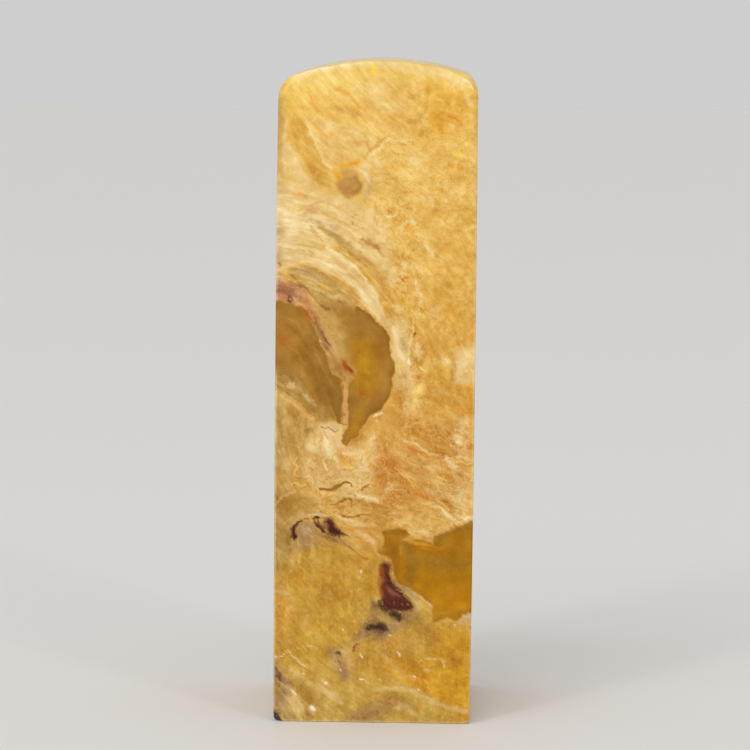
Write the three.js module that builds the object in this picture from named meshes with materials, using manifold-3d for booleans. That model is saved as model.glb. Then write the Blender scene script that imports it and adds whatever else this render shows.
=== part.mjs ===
// A seal stone: one block of polished soapstone with a square section and an arched top.
// It is cut from a single stone, so the whole object is one solid. The outline is drawn on the
// front face and carried back through the depth, and every edge is softened by hand polishing.
// Millimetres, +Z up. The origin is the middle of the base, the face that prints, and the front
// face looks along -Y.

import * as THREE from "three";
import { mergeVertices } from "three/addons/utils/BufferGeometryUtils.js";
import Module from "manifold-3d";

// Driving dimensions of the block.
const faceWidth = 30; // across the front, along X
const bodyDepth = 30; // front to back, along Y
const crownHeight = 100; // from the base to the highest point of the arch

// The arched top. It was cut by hand, so its middle lies a little to the right.
const crownRadius = 40.5;
const crownShift = 0.6;
const shoulderRadiusLeft = 4.1; // where the arch turns down into the left side
const shoulderRadiusRight = 3.3;

// The corners where the sides meet the base, seen from the front.
const heelRadiusLeft = 0.5;
const heelRadiusRight = 0.7;

// Polished roundings of the edges round the front and back faces.
const baseEdge = 0.3; // beside the printing face, kept crisp
const sideEdge = 0.4; // the four upright edges
const crownEdge = 0.65; // at the middle of the arch
const shoulderEdge = 1.2; // over the shoulders, where the polisher leans hardest

// A small shell-shaped break at the lower front corner, on the left.
const chipReach = 1.25; // how far it runs along each edge from the corner
const chipRadius = 2.6; // of the hollow that it leaves

// How finely the rounds are cut into flats.
const shoulderSteps = 14;
const heelSteps = 5;
const crownSteps = 44;
const edgeSteps = 6;
const chipDetail = 5;

// Two points of the outline closer than this are one point.
const samePoint = 1e-6;

const halfWidth = faceWidth / 2;
const halfDepth = bodyDepth / 2;
const crownCentre = new THREE.Vector2(crownShift, crownHeight - crownRadius);

/** Middle of the round that joins a side to the arch. side is -1 on the left and 1 on the right. */
function shoulderCentre(side, radius) {
  const x = side * (halfWidth - radius);
  const rise = Math.sqrt((crownRadius - radius) ** 2 - (x - crownCentre.x) ** 2);
  return new THREE.Vector2(x, crownCentre.y + rise);
}

/** Points along a round from one heading to another, each with the direction that faces out. */
function roundPoints(centre, radius, fromAngle, toAngle, steps, edgeAt) {
  return Array.from({ length: steps + 1 }, (_, i) => {
    const share = i / steps;
    const angle = THREE.MathUtils.lerp(fromAngle, toAngle, share);
    const out = new THREE.Vector2(Math.cos(angle), Math.sin(angle));
    const point = centre.clone().addScaledVector(out, radius);
    return { point, out, edge: edgeAt(share, point) };
  });
}

/** Softening of the edge over the arch: least at its middle, most at its two ends. */
function crownEdgeAt(x) {
  const share = Math.min(1, Math.abs(x - crownCentre.x) / (halfWidth - shoulderRadiusRight));
  return THREE.MathUtils.lerp(crownEdge, shoulderEdge, share ** 2);
}

/** The outline of the front face as one closed run of points, anticlockwise from the lower left. */
function frontOutline() {
  const left = shoulderCentre(-1, shoulderRadiusLeft);
  const right = shoulderCentre(1, shoulderRadiusRight);
  const leftAngle = left.clone().sub(crownCentre).angle();
  const rightAngle = right.clone().sub(crownCentre).angle();
  const heelLeft = new THREE.Vector2(-halfWidth + heelRadiusLeft, heelRadiusLeft);
  const heelRight = new THREE.Vector2(halfWidth - heelRadiusRight, heelRadiusRight);
  const blend = (from, to) => (share) => {
    return THREE.MathUtils.lerp(from, to, THREE.MathUtils.smoothstep(share, 0, 1));
  };
  const rightEnd = crownEdgeAt(crownCentre.x + crownRadius * Math.cos(rightAngle));
  const leftEnd = crownEdgeAt(crownCentre.x + crownRadius * Math.cos(leftAngle));
  const halfTurn = Math.PI;
  const under = 1.5 * halfTurn;
  const runs = [
    roundPoints(heelLeft, heelRadiusLeft, halfTurn, under, heelSteps, blend(sideEdge, baseEdge)),
    roundPoints(heelRight, heelRadiusRight, under, 2 * halfTurn, heelSteps, blend(baseEdge, sideEdge)),
    roundPoints(right, shoulderRadiusRight, 0, rightAngle, shoulderSteps, blend(sideEdge, rightEnd)),
    roundPoints(crownCentre, crownRadius, rightAngle, leftAngle, crownSteps, (_, p) => crownEdgeAt(p.x)),
    roundPoints(left, shoulderRadiusLeft, leftAngle, halfTurn, shoulderSteps, blend(leftEnd, sideEdge)),
  ];
  // Runs that touch share an end point, which is kept once.
  const outline = [];
  for (const station of runs.flat()) {
    const last = outline.at(-1);
    if (!last || last.point.distanceTo(station.point) > samePoint) outline.push(station);
  }
  return outline;
}

/** One ring of the block: the outline drawn in by its edge rounding, at the depth that goes with it. */
function edgeRing(outline, side, quarter) {
  return outline.map(({ point, out, edge }) => {
    const drawnIn = edge * (1 - Math.sin(quarter));
    const depth = halfDepth - edge * (1 - Math.cos(quarter));
    const p = point.clone().addScaledVector(out, -drawnIn);
    return new THREE.Vector3(p.x, side * depth, p.y);
  });
}

/** The block as one closed surface: rings from front to back, with a flat cap on each end. */
function blockGeometry() {
  const outline = frontOutline();
  const count = outline.length;
  const quarters = Array.from({ length: edgeSteps + 1 }, (_, i) => (i / edgeSteps) * (Math.PI / 2));
  const rings = [
    ...quarters.map((q) => edgeRing(outline, -1, q)),
    ...quarters.toReversed().map((q) => edgeRing(outline, 1, q)),
  ];
  const faces = [];
  for (let r = 0; r < rings.length - 1; r++) {
    for (let i = 0; i < count; i++) {
      const next = (i + 1) % count;
      const [a, b] = [r * count + i, r * count + next];
      const [c, d] = [a + count, b + count];
      faces.push(a, c, b, b, c, d);
    }
  }
  const cap = rings[0].map((p) => new THREE.Vector2(p.x, p.z));
  const backStart = (rings.length - 1) * count;
  for (const [a, b, c] of THREE.ShapeUtils.triangulateShape(cap, [])) {
    faces.push(a, b, c);
    faces.push(backStart + a, backStart + c, backStart + b);
  }
  return new THREE.BufferGeometry().setFromPoints(rings.flat()).setIndex(faces);
}

/** The rounded tool whose bite leaves the break: it just reaches chipReach along the three edges. */
function chipGeometry() {
  const corner = new THREE.Vector3(-halfWidth, -halfDepth, 0);
  const outward = new THREE.Vector3(-1, -1, -1).normalize();
  // A ball centred on the corner's diagonal that meets each edge at chipReach from the corner.
  const along = chipReach / Math.sqrt(3);
  const away = Math.sqrt(chipRadius ** 2 - chipReach ** 2 + along ** 2) - along;
  const centre = corner.addScaledVector(outward, away);
  return new THREE.IcosahedronGeometry(chipRadius, chipDetail).translate(centre.x, centre.y, centre.z);
}

const wasm = await Module();
wasm.setup();

/** A closed three.js geometry as a solid that can be cut. */
function solidOf(geometry) {
  const bare = geometry.clone();
  bare.deleteAttribute("normal");
  bare.deleteAttribute("uv");
  const merged = mergeVertices(bare);
  const vertProperties = merged.getAttribute("position").array;
  const triVerts = new Uint32Array(merged.index.array);
  return new wasm.Manifold(new wasm.Mesh({ numProp: 3, vertProperties, triVerts }));
}

/** A cut solid back as a three.js geometry. */
function geometryOf(solid) {
  const mesh = solid.getMesh();
  const geometry = new THREE.BufferGeometry();
  geometry.setAttribute("position", new THREE.BufferAttribute(mesh.vertProperties, mesh.numProp));
  geometry.setIndex(new THREE.BufferAttribute(mesh.triVerts, 1));
  geometry.computeVertexNormals();
  return geometry;
}

const honeyStone = new THREE.MeshStandardMaterial({ color: 0xdcae52, roughness: 0.28, metalness: 0 });

const sealStone = new THREE.Mesh(
  geometryOf(solidOf(blockGeometry()).subtract(solidOf(chipGeometry()))),
  honeyStone,
);
sealStone.name = "seal_stone";

const seal = new THREE.Group();
seal.name = "seal";
seal.add(sealStone);

export default seal;
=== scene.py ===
"""A seal stone with an arched top, cut from marbled honey-yellow soapstone and polished by hand.

The block is one piece. Its mesh is a fine lattice bent to the block's outline, and every vertex
carries what the rock is made of at that place: its tint, how it is bedded, and how much of it is
clear stone, crust, dark inclusion or stain. The tint also holds painted light: painted highlights
along the edges and the crown, and painted shade down the left edge and inside the clear stone's
rims. The material turns these into colour and gloss.
Lengths are in millimetres until the mesh is finished, and then in metres.
"""

import logging
import math
from collections.abc import Callable, Iterable
from dataclasses import dataclass
from enum import Enum

import bmesh
import bpy
import numpy as np
from mathutils import Matrix, Vector


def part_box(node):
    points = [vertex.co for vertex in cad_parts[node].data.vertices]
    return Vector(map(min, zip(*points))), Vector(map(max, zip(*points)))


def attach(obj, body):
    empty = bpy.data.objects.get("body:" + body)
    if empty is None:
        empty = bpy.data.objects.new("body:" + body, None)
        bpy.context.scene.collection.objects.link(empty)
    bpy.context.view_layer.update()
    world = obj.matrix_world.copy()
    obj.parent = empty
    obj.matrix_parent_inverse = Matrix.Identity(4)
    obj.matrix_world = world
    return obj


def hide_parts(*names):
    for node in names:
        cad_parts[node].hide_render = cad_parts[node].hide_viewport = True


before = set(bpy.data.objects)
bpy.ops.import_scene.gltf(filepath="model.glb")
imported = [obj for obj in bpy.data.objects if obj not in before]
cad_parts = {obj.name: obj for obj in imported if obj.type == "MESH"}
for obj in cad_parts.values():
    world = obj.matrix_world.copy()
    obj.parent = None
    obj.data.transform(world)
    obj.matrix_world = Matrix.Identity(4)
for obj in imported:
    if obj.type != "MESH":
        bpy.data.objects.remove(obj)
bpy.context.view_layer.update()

MM = 0.001
BODY = "root"
NODE = "seal_stone"
LOG = logging.getLogger("seal_stone")

# Lengths, areas and shares below these count as nothing.
TINY = 1e-9
TINY_AREA = 1e-12
FAINT = 1e-6

# Places on a smooth curve from one of its points to the next.
CURVE_STEPS = 4

# A softer rim than this, in millimetres, needs no finer mesh. A crisp one needs it just past itself.
CRISP = 0.25
STROKE_HALO = 0.12
PATCH_HALO = 0.1

# Places this close under a face, in millimetres, lie on it.
SKIN = 0.01

# Room round a mark in which places are looked up: times its size, and millimetres beyond it.
ROOM_SHARE = 1.5
PATCH_ROOM = 0.5
DEPTH_ROOM = 1.0

# Shares of a stroke's depth at which it is gone and at which it is whole.
STROKE_FADE = (1.4, 0.6)

# How steeply a patch closes in as it goes deeper.
PATCH_SLOPE = 0.9

# How far inside a crisp outline its rim ends and is strongest, in millimetres, for the painted shade
# inside the clear stone.
RIM_WIDTH = (0.9, 0.1)

# How far up or down the outline faces where a side's rounding turns into the arch's or the base's.
UPWARD = (0.1, 0.95)
DOWNWARD = (-0.1, -0.9)

Array = np.ndarray
Point = tuple[float, float]
Path = tuple[Point, ...]
Guides = tuple[tuple[float, float, float, float], ...]
Socket = bpy.types.NodeSocket
Given = Socket | float | tuple[float, ...] | None


def linear(code: str) -> Array:
    """The linear colour that a hex code stands for.

    Args:
        code: six hex digits, as on a painter's colour card.

    Returns:
        Red, green and blue from 0 to 1, in linear light.
    """
    srgb = np.array([int(code[i : i + 2], 16) for i in (0, 2, 4)]) / 255
    return np.where(srgb <= 0.04045, srgb / 12.92, ((srgb + 0.055) / 1.055) ** 2.4)


def ease(low: float, high: float, value: Array) -> Array:
    """A soft step that is 0 at low and 1 at high.

    Args:
        low: where the step starts.
        high: where it ends, which may be below low.
        value: what is stepped.

    Returns:
        Numbers from 0 to 1.
    """
    share = np.clip((value - low) / (high - low), 0, 1)
    return share * share * (3 - 2 * share)


def run(*numbers: float) -> Path:
    """Pairs plain numbers up as places on a face, across and up."""
    return tuple(zip(numbers[::2], numbers[1::2]))


def cloud(place: Array, size: float, seed: int) -> Array:
    """Smooth random numbers that vary over a given size.

    Args:
        place: the places, one row each.
        size: the distance over which the numbers change.
        seed: which random field to use.

    Returns:
        One number from -1 to 1 for each place.
    """
    lattice = np.random.default_rng(seed).uniform(-1, 1, (32, 32, 32))
    cell = place / size
    low = np.floor(cell).astype(int)
    part = cell - low
    part = part * part * (3 - 2 * part)
    total = np.zeros(len(place))
    for corner in np.ndindex(2, 2, 2):
        weight = np.prod(np.where(corner, part, 1 - part), axis=1)
        i, j, k = ((low + corner) % len(lattice)).T
        total += weight * lattice[i, j, k]
    return total


class Hue(Enum):
    """Colours of the rock, from its palest crust to its darkest inclusions."""

    MILK = "F7EED4"
    CREAM = "F1DEAC"
    SAND = "E8CD94"
    BUTTER = "EFCB70"
    LEMON = "F9DA62"
    HONEY = "E6BE6A"
    FLAX = "DFB365"
    GOLD = "E2B04A"
    SAFFRON = "E2A433"
    MARIGOLD = "DB8E22"
    APRICOT = "CE9445"
    PEACH = "D8A870"
    TAN = "CFA258"
    DRAB = "C5A05A"
    BRASS = "C8941E"
    MUSTARD = "C09538"
    MOSS = "B28A3C"
    KHAKI = "B08B48"
    TAUPE = "BC8B48"
    AMBER = "A9740E"
    RESIN = "B87E10"
    TREACLE = "9A6412"
    OLIVE = "9B6D28"
    UMBER = "876020"
    BRONZE = "A8772F"
    ROSE = "B87A58"
    MAUVE = "A0704C"
    LILAC = "C8AA80"
    SMOKE = "9A7650"
    SLATE = "624634"
    RUST = "B4560F"
    BLOOD = "8E2607"
    BRICK = "66280F"
    MAROON = "45120A"
    PLUM = "2F1610"


(
    MILK, CREAM, SAND, BUTTER, LEMON, HONEY, FLAX, GOLD, SAFFRON, MARIGOLD, APRICOT, PEACH, TAN, DRAB,
    BRASS, MUSTARD, MOSS, KHAKI, TAUPE, AMBER, RESIN, TREACLE, OLIVE, UMBER, BRONZE, ROSE, MAUVE,
    LILAC, SMOKE, SLATE, RUST, BLOOD, BRICK, MAROON, PLUM,
) = Hue


class Face(Enum):
    """The faces that a marking is drawn on, each as seen from outside.

    A value holds the directions that point across, up and into the block.
    """

    FRONT = ((1, 0, 0), (0, 0, 1), (0, 1, 0))
    BACK = ((-1, 0, 0), (0, 0, 1), (0, -1, 0))
    LEFT = ((0, -1, 0), (0, 0, 1), (1, 0, 0))
    RIGHT = ((0, 1, 0), (0, 0, 1), (-1, 0, 0))
    TOP = ((1, 0, 0), (0, 1, 0), (0, 0, -1))


@dataclass(frozen=True)
class Block:
    """The block's outline and the polished rounding of its edges, in millimetres."""

    width: float
    depth: float
    height: float
    crown_radius: float = 40.5
    crown_shift: float = 0.6
    shoulder_left: float = 4.1
    shoulder_right: float = 3.3
    heel_left: float = 0.5
    heel_right: float = 0.7
    base_edge: float = 0.3
    side_edge: float = 0.4
    crown_edge: float = 0.65
    shoulder_edge: float = 1.2
    softer_from: float = 74.0
    softer_to: float = 95.0

    @property
    def half(self) -> float:
        """Half of the width."""
        return self.width / 2

    @property
    def crown(self) -> Array:
        """Centre of the arch, across and up."""
        return np.array([self.crown_shift, self.height - self.crown_radius])

    def shoulder(self, side: int) -> tuple[Array, float]:
        """Centre and radius of the round that joins a side to the arch.

        Args:
            side: -1 for the left, 1 for the right.

        Returns:
            The centre, across and up, and the radius.
        """
        radius = self.shoulder_left if side < 0 else self.shoulder_right
        across = side * (self.half - radius)
        rise = math.sqrt((self.crown_radius - radius) ** 2 - (across - self.crown[0]) ** 2)
        return np.array([across, self.crown[1] + rise]), radius

    def top_at(self, x: Array) -> Array:
        """Height of the outline above places across the front.

        Args:
            x: the places.

        Returns:
            The heights.
        """
        top = self.crown[1] + np.sqrt(self.crown_radius**2 - (x - self.crown[0]) ** 2)
        for side in (-1, 1):
            centre, radius = self.shoulder(side)
            joint = centre + (centre - self.crown) * radius / (self.crown_radius - radius)
            reach = np.clip(side * (x - centre[0]), 0, radius)
            rounded = centre[1] + np.sqrt(radius**2 - reach**2)
            top = np.where(side * x > side * joint[0], rounded, top)
        return top

    def foot_at(self, x: Array) -> Array:
        """Height of the outline's lower edge, which turns up at the two heels.

        Args:
            x: places across the front.

        Returns:
            The heights.
        """
        foot = np.zeros_like(x)
        for side, radius in ((-1, self.heel_left), (1, self.heel_right)):
            reach = np.clip(side * x - (self.half - radius), 0, radius)
            foot += radius - np.sqrt(radius**2 - reach**2)
        return foot

    def margin(self, x: Array, z: Array) -> tuple[Array, Array]:
        """How far places lie inside the outline, and which way the nearest part of it faces.

        Args:
            x: places across the front.
            z: their heights.

        Returns:
            The distances, and unit directions pointing out, across and up.
        """
        at = np.stack([x, z], -1)
        away = at - self.crown
        length = np.linalg.norm(away, axis=-1)
        inside = np.where(away[:, 1] > 0, self.crown_radius - length, self.height)
        out = away / length[:, None]
        for side in (-1, 1):
            nearer = self.half - side * x < inside
            inside = np.where(nearer, self.half - side * x, inside)
            out[nearer] = (side, 0)
        nearer = z < inside
        inside = np.where(nearer, z, inside)
        out[nearer] = (0, -1)
        for side in (-1, 1):
            centre, radius = self.shoulder(side)
            line = (centre - self.crown) / np.linalg.norm(centre - self.crown)
            beyond = side * (away[:, 0] * line[1] - away[:, 1] * line[0]) > 0
            inside, out = self.turn(at, centre, radius, beyond & (z > centre[1]), inside, out)
            heel = self.heel_left if side < 0 else self.heel_right
            centre = np.array([side * (self.half - heel), heel])
            corner = (side * x > side * centre[0]) & (z < heel)
            inside, out = self.turn(at, centre, heel, corner, inside, out)
        return inside, out

    @staticmethod
    def turn(
        at: Array, centre: Array, radius: float, where: Array, inside: Array, out: Array
    ) -> tuple[Array, Array]:
        """Puts a round corner's distances and directions in place of the given ones.

        Args:
            at: the places, across and up.
            centre: centre of the round corner.
            radius: its radius.
            where: which places it governs.
            inside: the distances so far.
            out: the directions so far.

        Returns:
            The new distances and directions.
        """
        away = at - centre
        length = np.maximum(np.linalg.norm(away, axis=-1), TINY)
        inside = np.where(where, radius - length, inside)
        out = np.where(where[:, None], away / length[:, None], out)
        return inside, out

    def edge_at(self, x: Array, z: Array, out: Array) -> Array:
        """Radius of the polished edge beside a place on the outline.

        Args:
            x: places across the front.
            z: their heights.
            out: the directions that the outline faces there.

        Returns:
            The radii.
        """
        share = np.clip(np.abs(x - self.crown_shift) / (self.half - self.shoulder_right), 0, 1)
        over = self.crown_edge + (self.shoulder_edge - self.crown_edge) * share**2
        softer = ease(self.softer_from, self.softer_to, z)
        upright = self.side_edge + (self.shoulder_edge - self.side_edge) * softer
        rise = ease(*UPWARD, out[:, 1])
        lower = ease(*DOWNWARD, out[:, 1])
        edge = upright + (over - upright) * rise
        return edge + (self.base_edge - edge) * lower


def smooth(points: Path, closed: bool) -> Array:
    """A smooth curve through given points.

    Args:
        points: the points, across and up.
        closed: whether the curve comes back to its start.

    Returns:
        Closely spaced places on the curve.
    """
    knots = np.array(points, float)
    if len(knots) < 3:
        return knots
    if closed:
        knots = np.concatenate([knots[-1:], knots, knots[:2]])
    else:
        knots = np.concatenate([2 * knots[:1] - knots[1:2], knots, 2 * knots[-1:] - knots[-2:-1]])
    share = np.linspace(0, 1, CURVE_STEPS, endpoint=False)[:, None]
    pieces = []
    for a, b, c, d in zip(knots[:-3], knots[1:-2], knots[2:-1], knots[3:]):
        cubic = 3 * b - a - 3 * c + d
        square = 2 * a - 5 * b + 4 * c - d
        pieces.append(b + 0.5 * (share * (c - a) + share**2 * square + share**3 * cubic))
    return np.concatenate([*pieces, knots[-2:-1]])


def path_distance(curve: Array, at: Array) -> tuple[Array, Array]:
    """Distance from places to a curve.

    Args:
        curve: places along the curve.
        at: the places to measure from.

    Returns:
        The distances, and where the nearest point lies along the curve, from 0 to 1.
    """
    if len(curve) == 1:
        return np.linalg.norm(at - curve[0], axis=1), np.full(len(at), 0.5)
    steps = np.diff(curve, axis=0)
    lengths = np.maximum(np.linalg.norm(steps, axis=1), TINY)
    starts = np.concatenate([[0], np.cumsum(lengths)])
    best = np.full(len(at), np.inf)
    along = np.zeros(len(at))
    for origin, step, length, start in zip(curve[:-1], steps, lengths, starts):
        part = np.clip((at - origin) @ step / length**2, 0, 1)
        gap = np.linalg.norm(at - origin - part[:, None] * step, axis=1)
        nearer = gap < best
        best[nearer] = gap[nearer]
        along[nearer] = (start + part[nearer] * length) / starts[-1]
    return best, along


def area_depth(curve: Array, at: Array) -> Array:
    """How far places lie inside a closed curve, less than 0 outside it.

    Args:
        curve: places along the closed curve.
        at: the places to measure from.

    Returns:
        The signed distances.
    """
    ring = np.concatenate([curve, curve[:1]])
    best = np.full(len(at), np.inf)
    crossings = np.zeros(len(at), int)
    for a, b in zip(ring[:-1], ring[1:]):
        step = b - a
        span = max(step @ step, TINY_AREA)
        part = np.clip((at - a) @ step / span, 0, 1)
        best = np.minimum(best, np.linalg.norm(at - a - part[:, None] * step, axis=1))
        if a[1] != b[1]:
            between = (at[:, 1] >= min(a[1], b[1])) & (at[:, 1] < max(a[1], b[1]))
            cut = a[0] + (at[:, 1] - a[1]) * step[0] / step[1]
            crossings += between & (at[:, 0] < cut)
    return np.where(crossings % 2 == 1, best, -best)


@dataclass(frozen=True)
class Stroke:
    """A mark along a smooth path, or a round spot where the path is one point."""

    hue: Hue
    path: Path
    reach: float
    weight: float = 1.0
    soft: float = 1.0
    taper: float = 0.6
    depth: float = 2.0

    def cover(self, at: Array, below: Array) -> Array:
        """How much the mark covers.

        Args:
            at: places on the mark's face, across and up.
            below: how deep each place lies under that face.

        Returns:
            Shares from 0 to 1.
        """
        distance, along = path_distance(smooth(self.path, False), at)
        thin = self.taper * (2 * along - 1) ** 2 if len(self.path) > 1 else 0.0
        reach = self.reach * (1 - thin)
        share = (reach - distance) / np.maximum(reach * self.soft, FAINT)
        gone, whole = (self.depth * part for part in STROKE_FADE)
        return self.weight * ease(0, 1, share) * ease(gone, whole, below)

    def box(self) -> tuple[Array, Array]:
        """Lowest and highest corners of what the mark can reach."""
        room = self.reach * ROOM_SHARE
        return np.min(self.path, axis=0) - room, np.max(self.path, axis=0) + room

    def crisp(self, at: Array) -> Array:
        """Where the mark needs the finest mesh.

        Args:
            at: places on the mark's face, across and up.

        Returns:
            Yes or no for each place.
        """
        if self.reach * self.soft > CRISP:
            return np.zeros(len(at), bool)
        distance, _ = path_distance(smooth(self.path, False), at)
        return distance < self.reach + STROKE_HALO


@dataclass(frozen=True)
class Patch:
    """An area inside a smooth closed outline, whose rim fades over a given width."""

    hue: Hue
    outline: Path
    soft: float
    weight: float = 1.0
    depth: float = 3.0

    def cover(self, at: Array, below: Array) -> Array:
        """How much the area covers.

        Args:
            at: places on the area's face, across and up.
            below: how deep each place lies under that face.

        Returns:
            Shares from 0 to 1.
        """
        above_floor = (self.depth - below) * PATCH_SLOPE
        inside = np.minimum(area_depth(smooth(self.outline, True), at), above_floor)
        return self.weight * ease(-self.soft, self.soft, inside)

    def box(self) -> tuple[Array, Array]:
        """Lowest and highest corners of what the area can reach."""
        room = self.soft + PATCH_ROOM
        return np.min(self.outline, axis=0) - room, np.max(self.outline, axis=0) + room

    def rim(self, at: Array) -> Array:
        """How close places lie to a crisp rim, from the inside."""
        inside = area_depth(smooth(self.outline, True), at)
        return ease(*RIM_WIDTH, inside) * (inside > 0) * (self.soft < CRISP)

    def crisp(self, at: Array) -> Array:
        """Where the area's rim needs the finest mesh.

        Args:
            at: places on the area's face, across and up.

        Returns:
            Yes or no for each place.
        """
        if self.soft > CRISP:
            return np.zeros(len(at), bool)
        return np.abs(area_depth(smooth(self.outline, True), at)) < self.soft + PATCH_HALO


Mark = Stroke | Patch
Row = tuple[Hue | Path | float, ...]


def drawn(*rows: Mark | Row) -> tuple[Mark, ...]:
    """Marks in drawing order, where a plain row stands for a stroke.

    Args:
        rows: marks, or rows with a stroke's hue, path, reach and weight, and then, where they
            differ from its own, its softness, taper and depth.

    Returns:
        The marks.
    """
    return tuple(Stroke(*row) if isinstance(row, tuple) else row for row in rows)


class Sheet:
    """One face of the block as a drawing sheet, with how deep every place lies under it.

    Marks lean as they go into the rock, so they come round an edge at a slant. Each wobble says how
    far an outline strays, and over which distance, in millimetres.
    """

    lean: Point = (0.22, 0.3)
    fine_wobble: Point = (0.15, 0.5)
    broad_wobble: Point = (0.16, 1.3)

    def __init__(self, face: Face, block: Block, place: Array) -> None:
        """Works out where the places lie on the sheet.

        Args:
            face: the face that the sheet lies on.
            block: the block.
            place: the places, in millimetres.
        """
        across, up, inward = (np.array(axis) for axis in face.value)
        start = block.height if face is Face.TOP else block.depth / 2
        self.below = place @ inward + start
        (fine, fine_size), (broad, broad_size) = self.fine_wobble, self.broad_wobble
        wobble = [
            fine * cloud(place, fine_size, seed) + broad * cloud(place, broad_size, seed + 7)
            for seed in (1, 2)
        ]
        self.at = np.stack(
            [
                place @ across + self.lean[0] * self.below + wobble[0],
                place @ up + self.lean[1] * self.below + wobble[1],
            ],
            -1,
        )

    def near(self, mark: Mark) -> Array:
        """The numbers of the places that a mark can reach.

        Args:
            mark: the mark.

        Returns:
            Row numbers.
        """
        low, high = mark.box()
        inside = np.all((self.at >= low) & (self.at <= high), axis=1)
        return np.flatnonzero(inside & (self.below < mark.depth * ROOM_SHARE + DEPTH_ROOM))


class Layer:
    """A coat of colour over the whole surface, and how much of the surface it covers."""

    def __init__(self, count: int, ground: Array | None = None) -> None:
        """Starts the coat.

        Args:
            count: how many places there are.
            ground: colours that cover it all from the start, or nothing.
        """
        self.colour = np.tile(linear(GOLD.value), (count, 1)) if ground is None else ground
        self.cover = np.full(count, 0.0 if ground is None else 1.0)

    def lay(self, where: Array, hue: Hue, share: Array) -> None:
        """Lays a colour over what is there.

        Args:
            where: numbers of the places.
            hue: the colour.
            share: how much it covers at each.
        """
        before = self.cover[where]
        after = share + before * (1 - share)
        part = np.where(after > 0, share / np.maximum(after, FAINT), 0)[:, None]
        self.colour[where] = self.colour[where] * (1 - part) + linear(hue.value) * part
        self.cover[where] = after

    def draw(self, sheet: Sheet, marks: Iterable[Mark]) -> None:
        """Draws marks in order on one face's sheet.

        Args:
            sheet: the sheet.
            marks: the marks.
        """
        for mark in marks:
            where = sheet.near(mark)
            self.lay(where, mark.hue, mark.cover(sheet.at[where], sheet.below[where]))


@dataclass(frozen=True)
class Markings:
    """What is drawn on one face, layer by layer."""

    face: Face
    ground: tuple[Mark, ...] = ()
    pockets: tuple[Mark, ...] = ()
    depths: tuple[Mark, ...] = ()
    inclusions: tuple[Mark, ...] = ()
    stains: tuple[Mark, ...] = ()
    laminae: tuple[Mark, ...] = ()
    curls: tuple[Mark, ...] = ()
    grains: tuple[Mark, ...] = ()
    veils: tuple[Mark, ...] = ()

    def crisp(self, sheet: Sheet) -> Array:
        """Where the marks on this face need the finest mesh.

        Args:
            sheet: the face's sheet, with the places.

        Returns:
            Yes or no for each place.
        """
        fine = np.zeros(len(sheet.at), bool)
        for mark in (*self.ground, *self.pockets, *self.depths, *self.inclusions, *self.stains):
            where = sheet.near(mark)
            where = where[sheet.below[where] < SKIN]
            fine[where] |= mark.crisp(sheet.at[where])
        return fine


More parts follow.
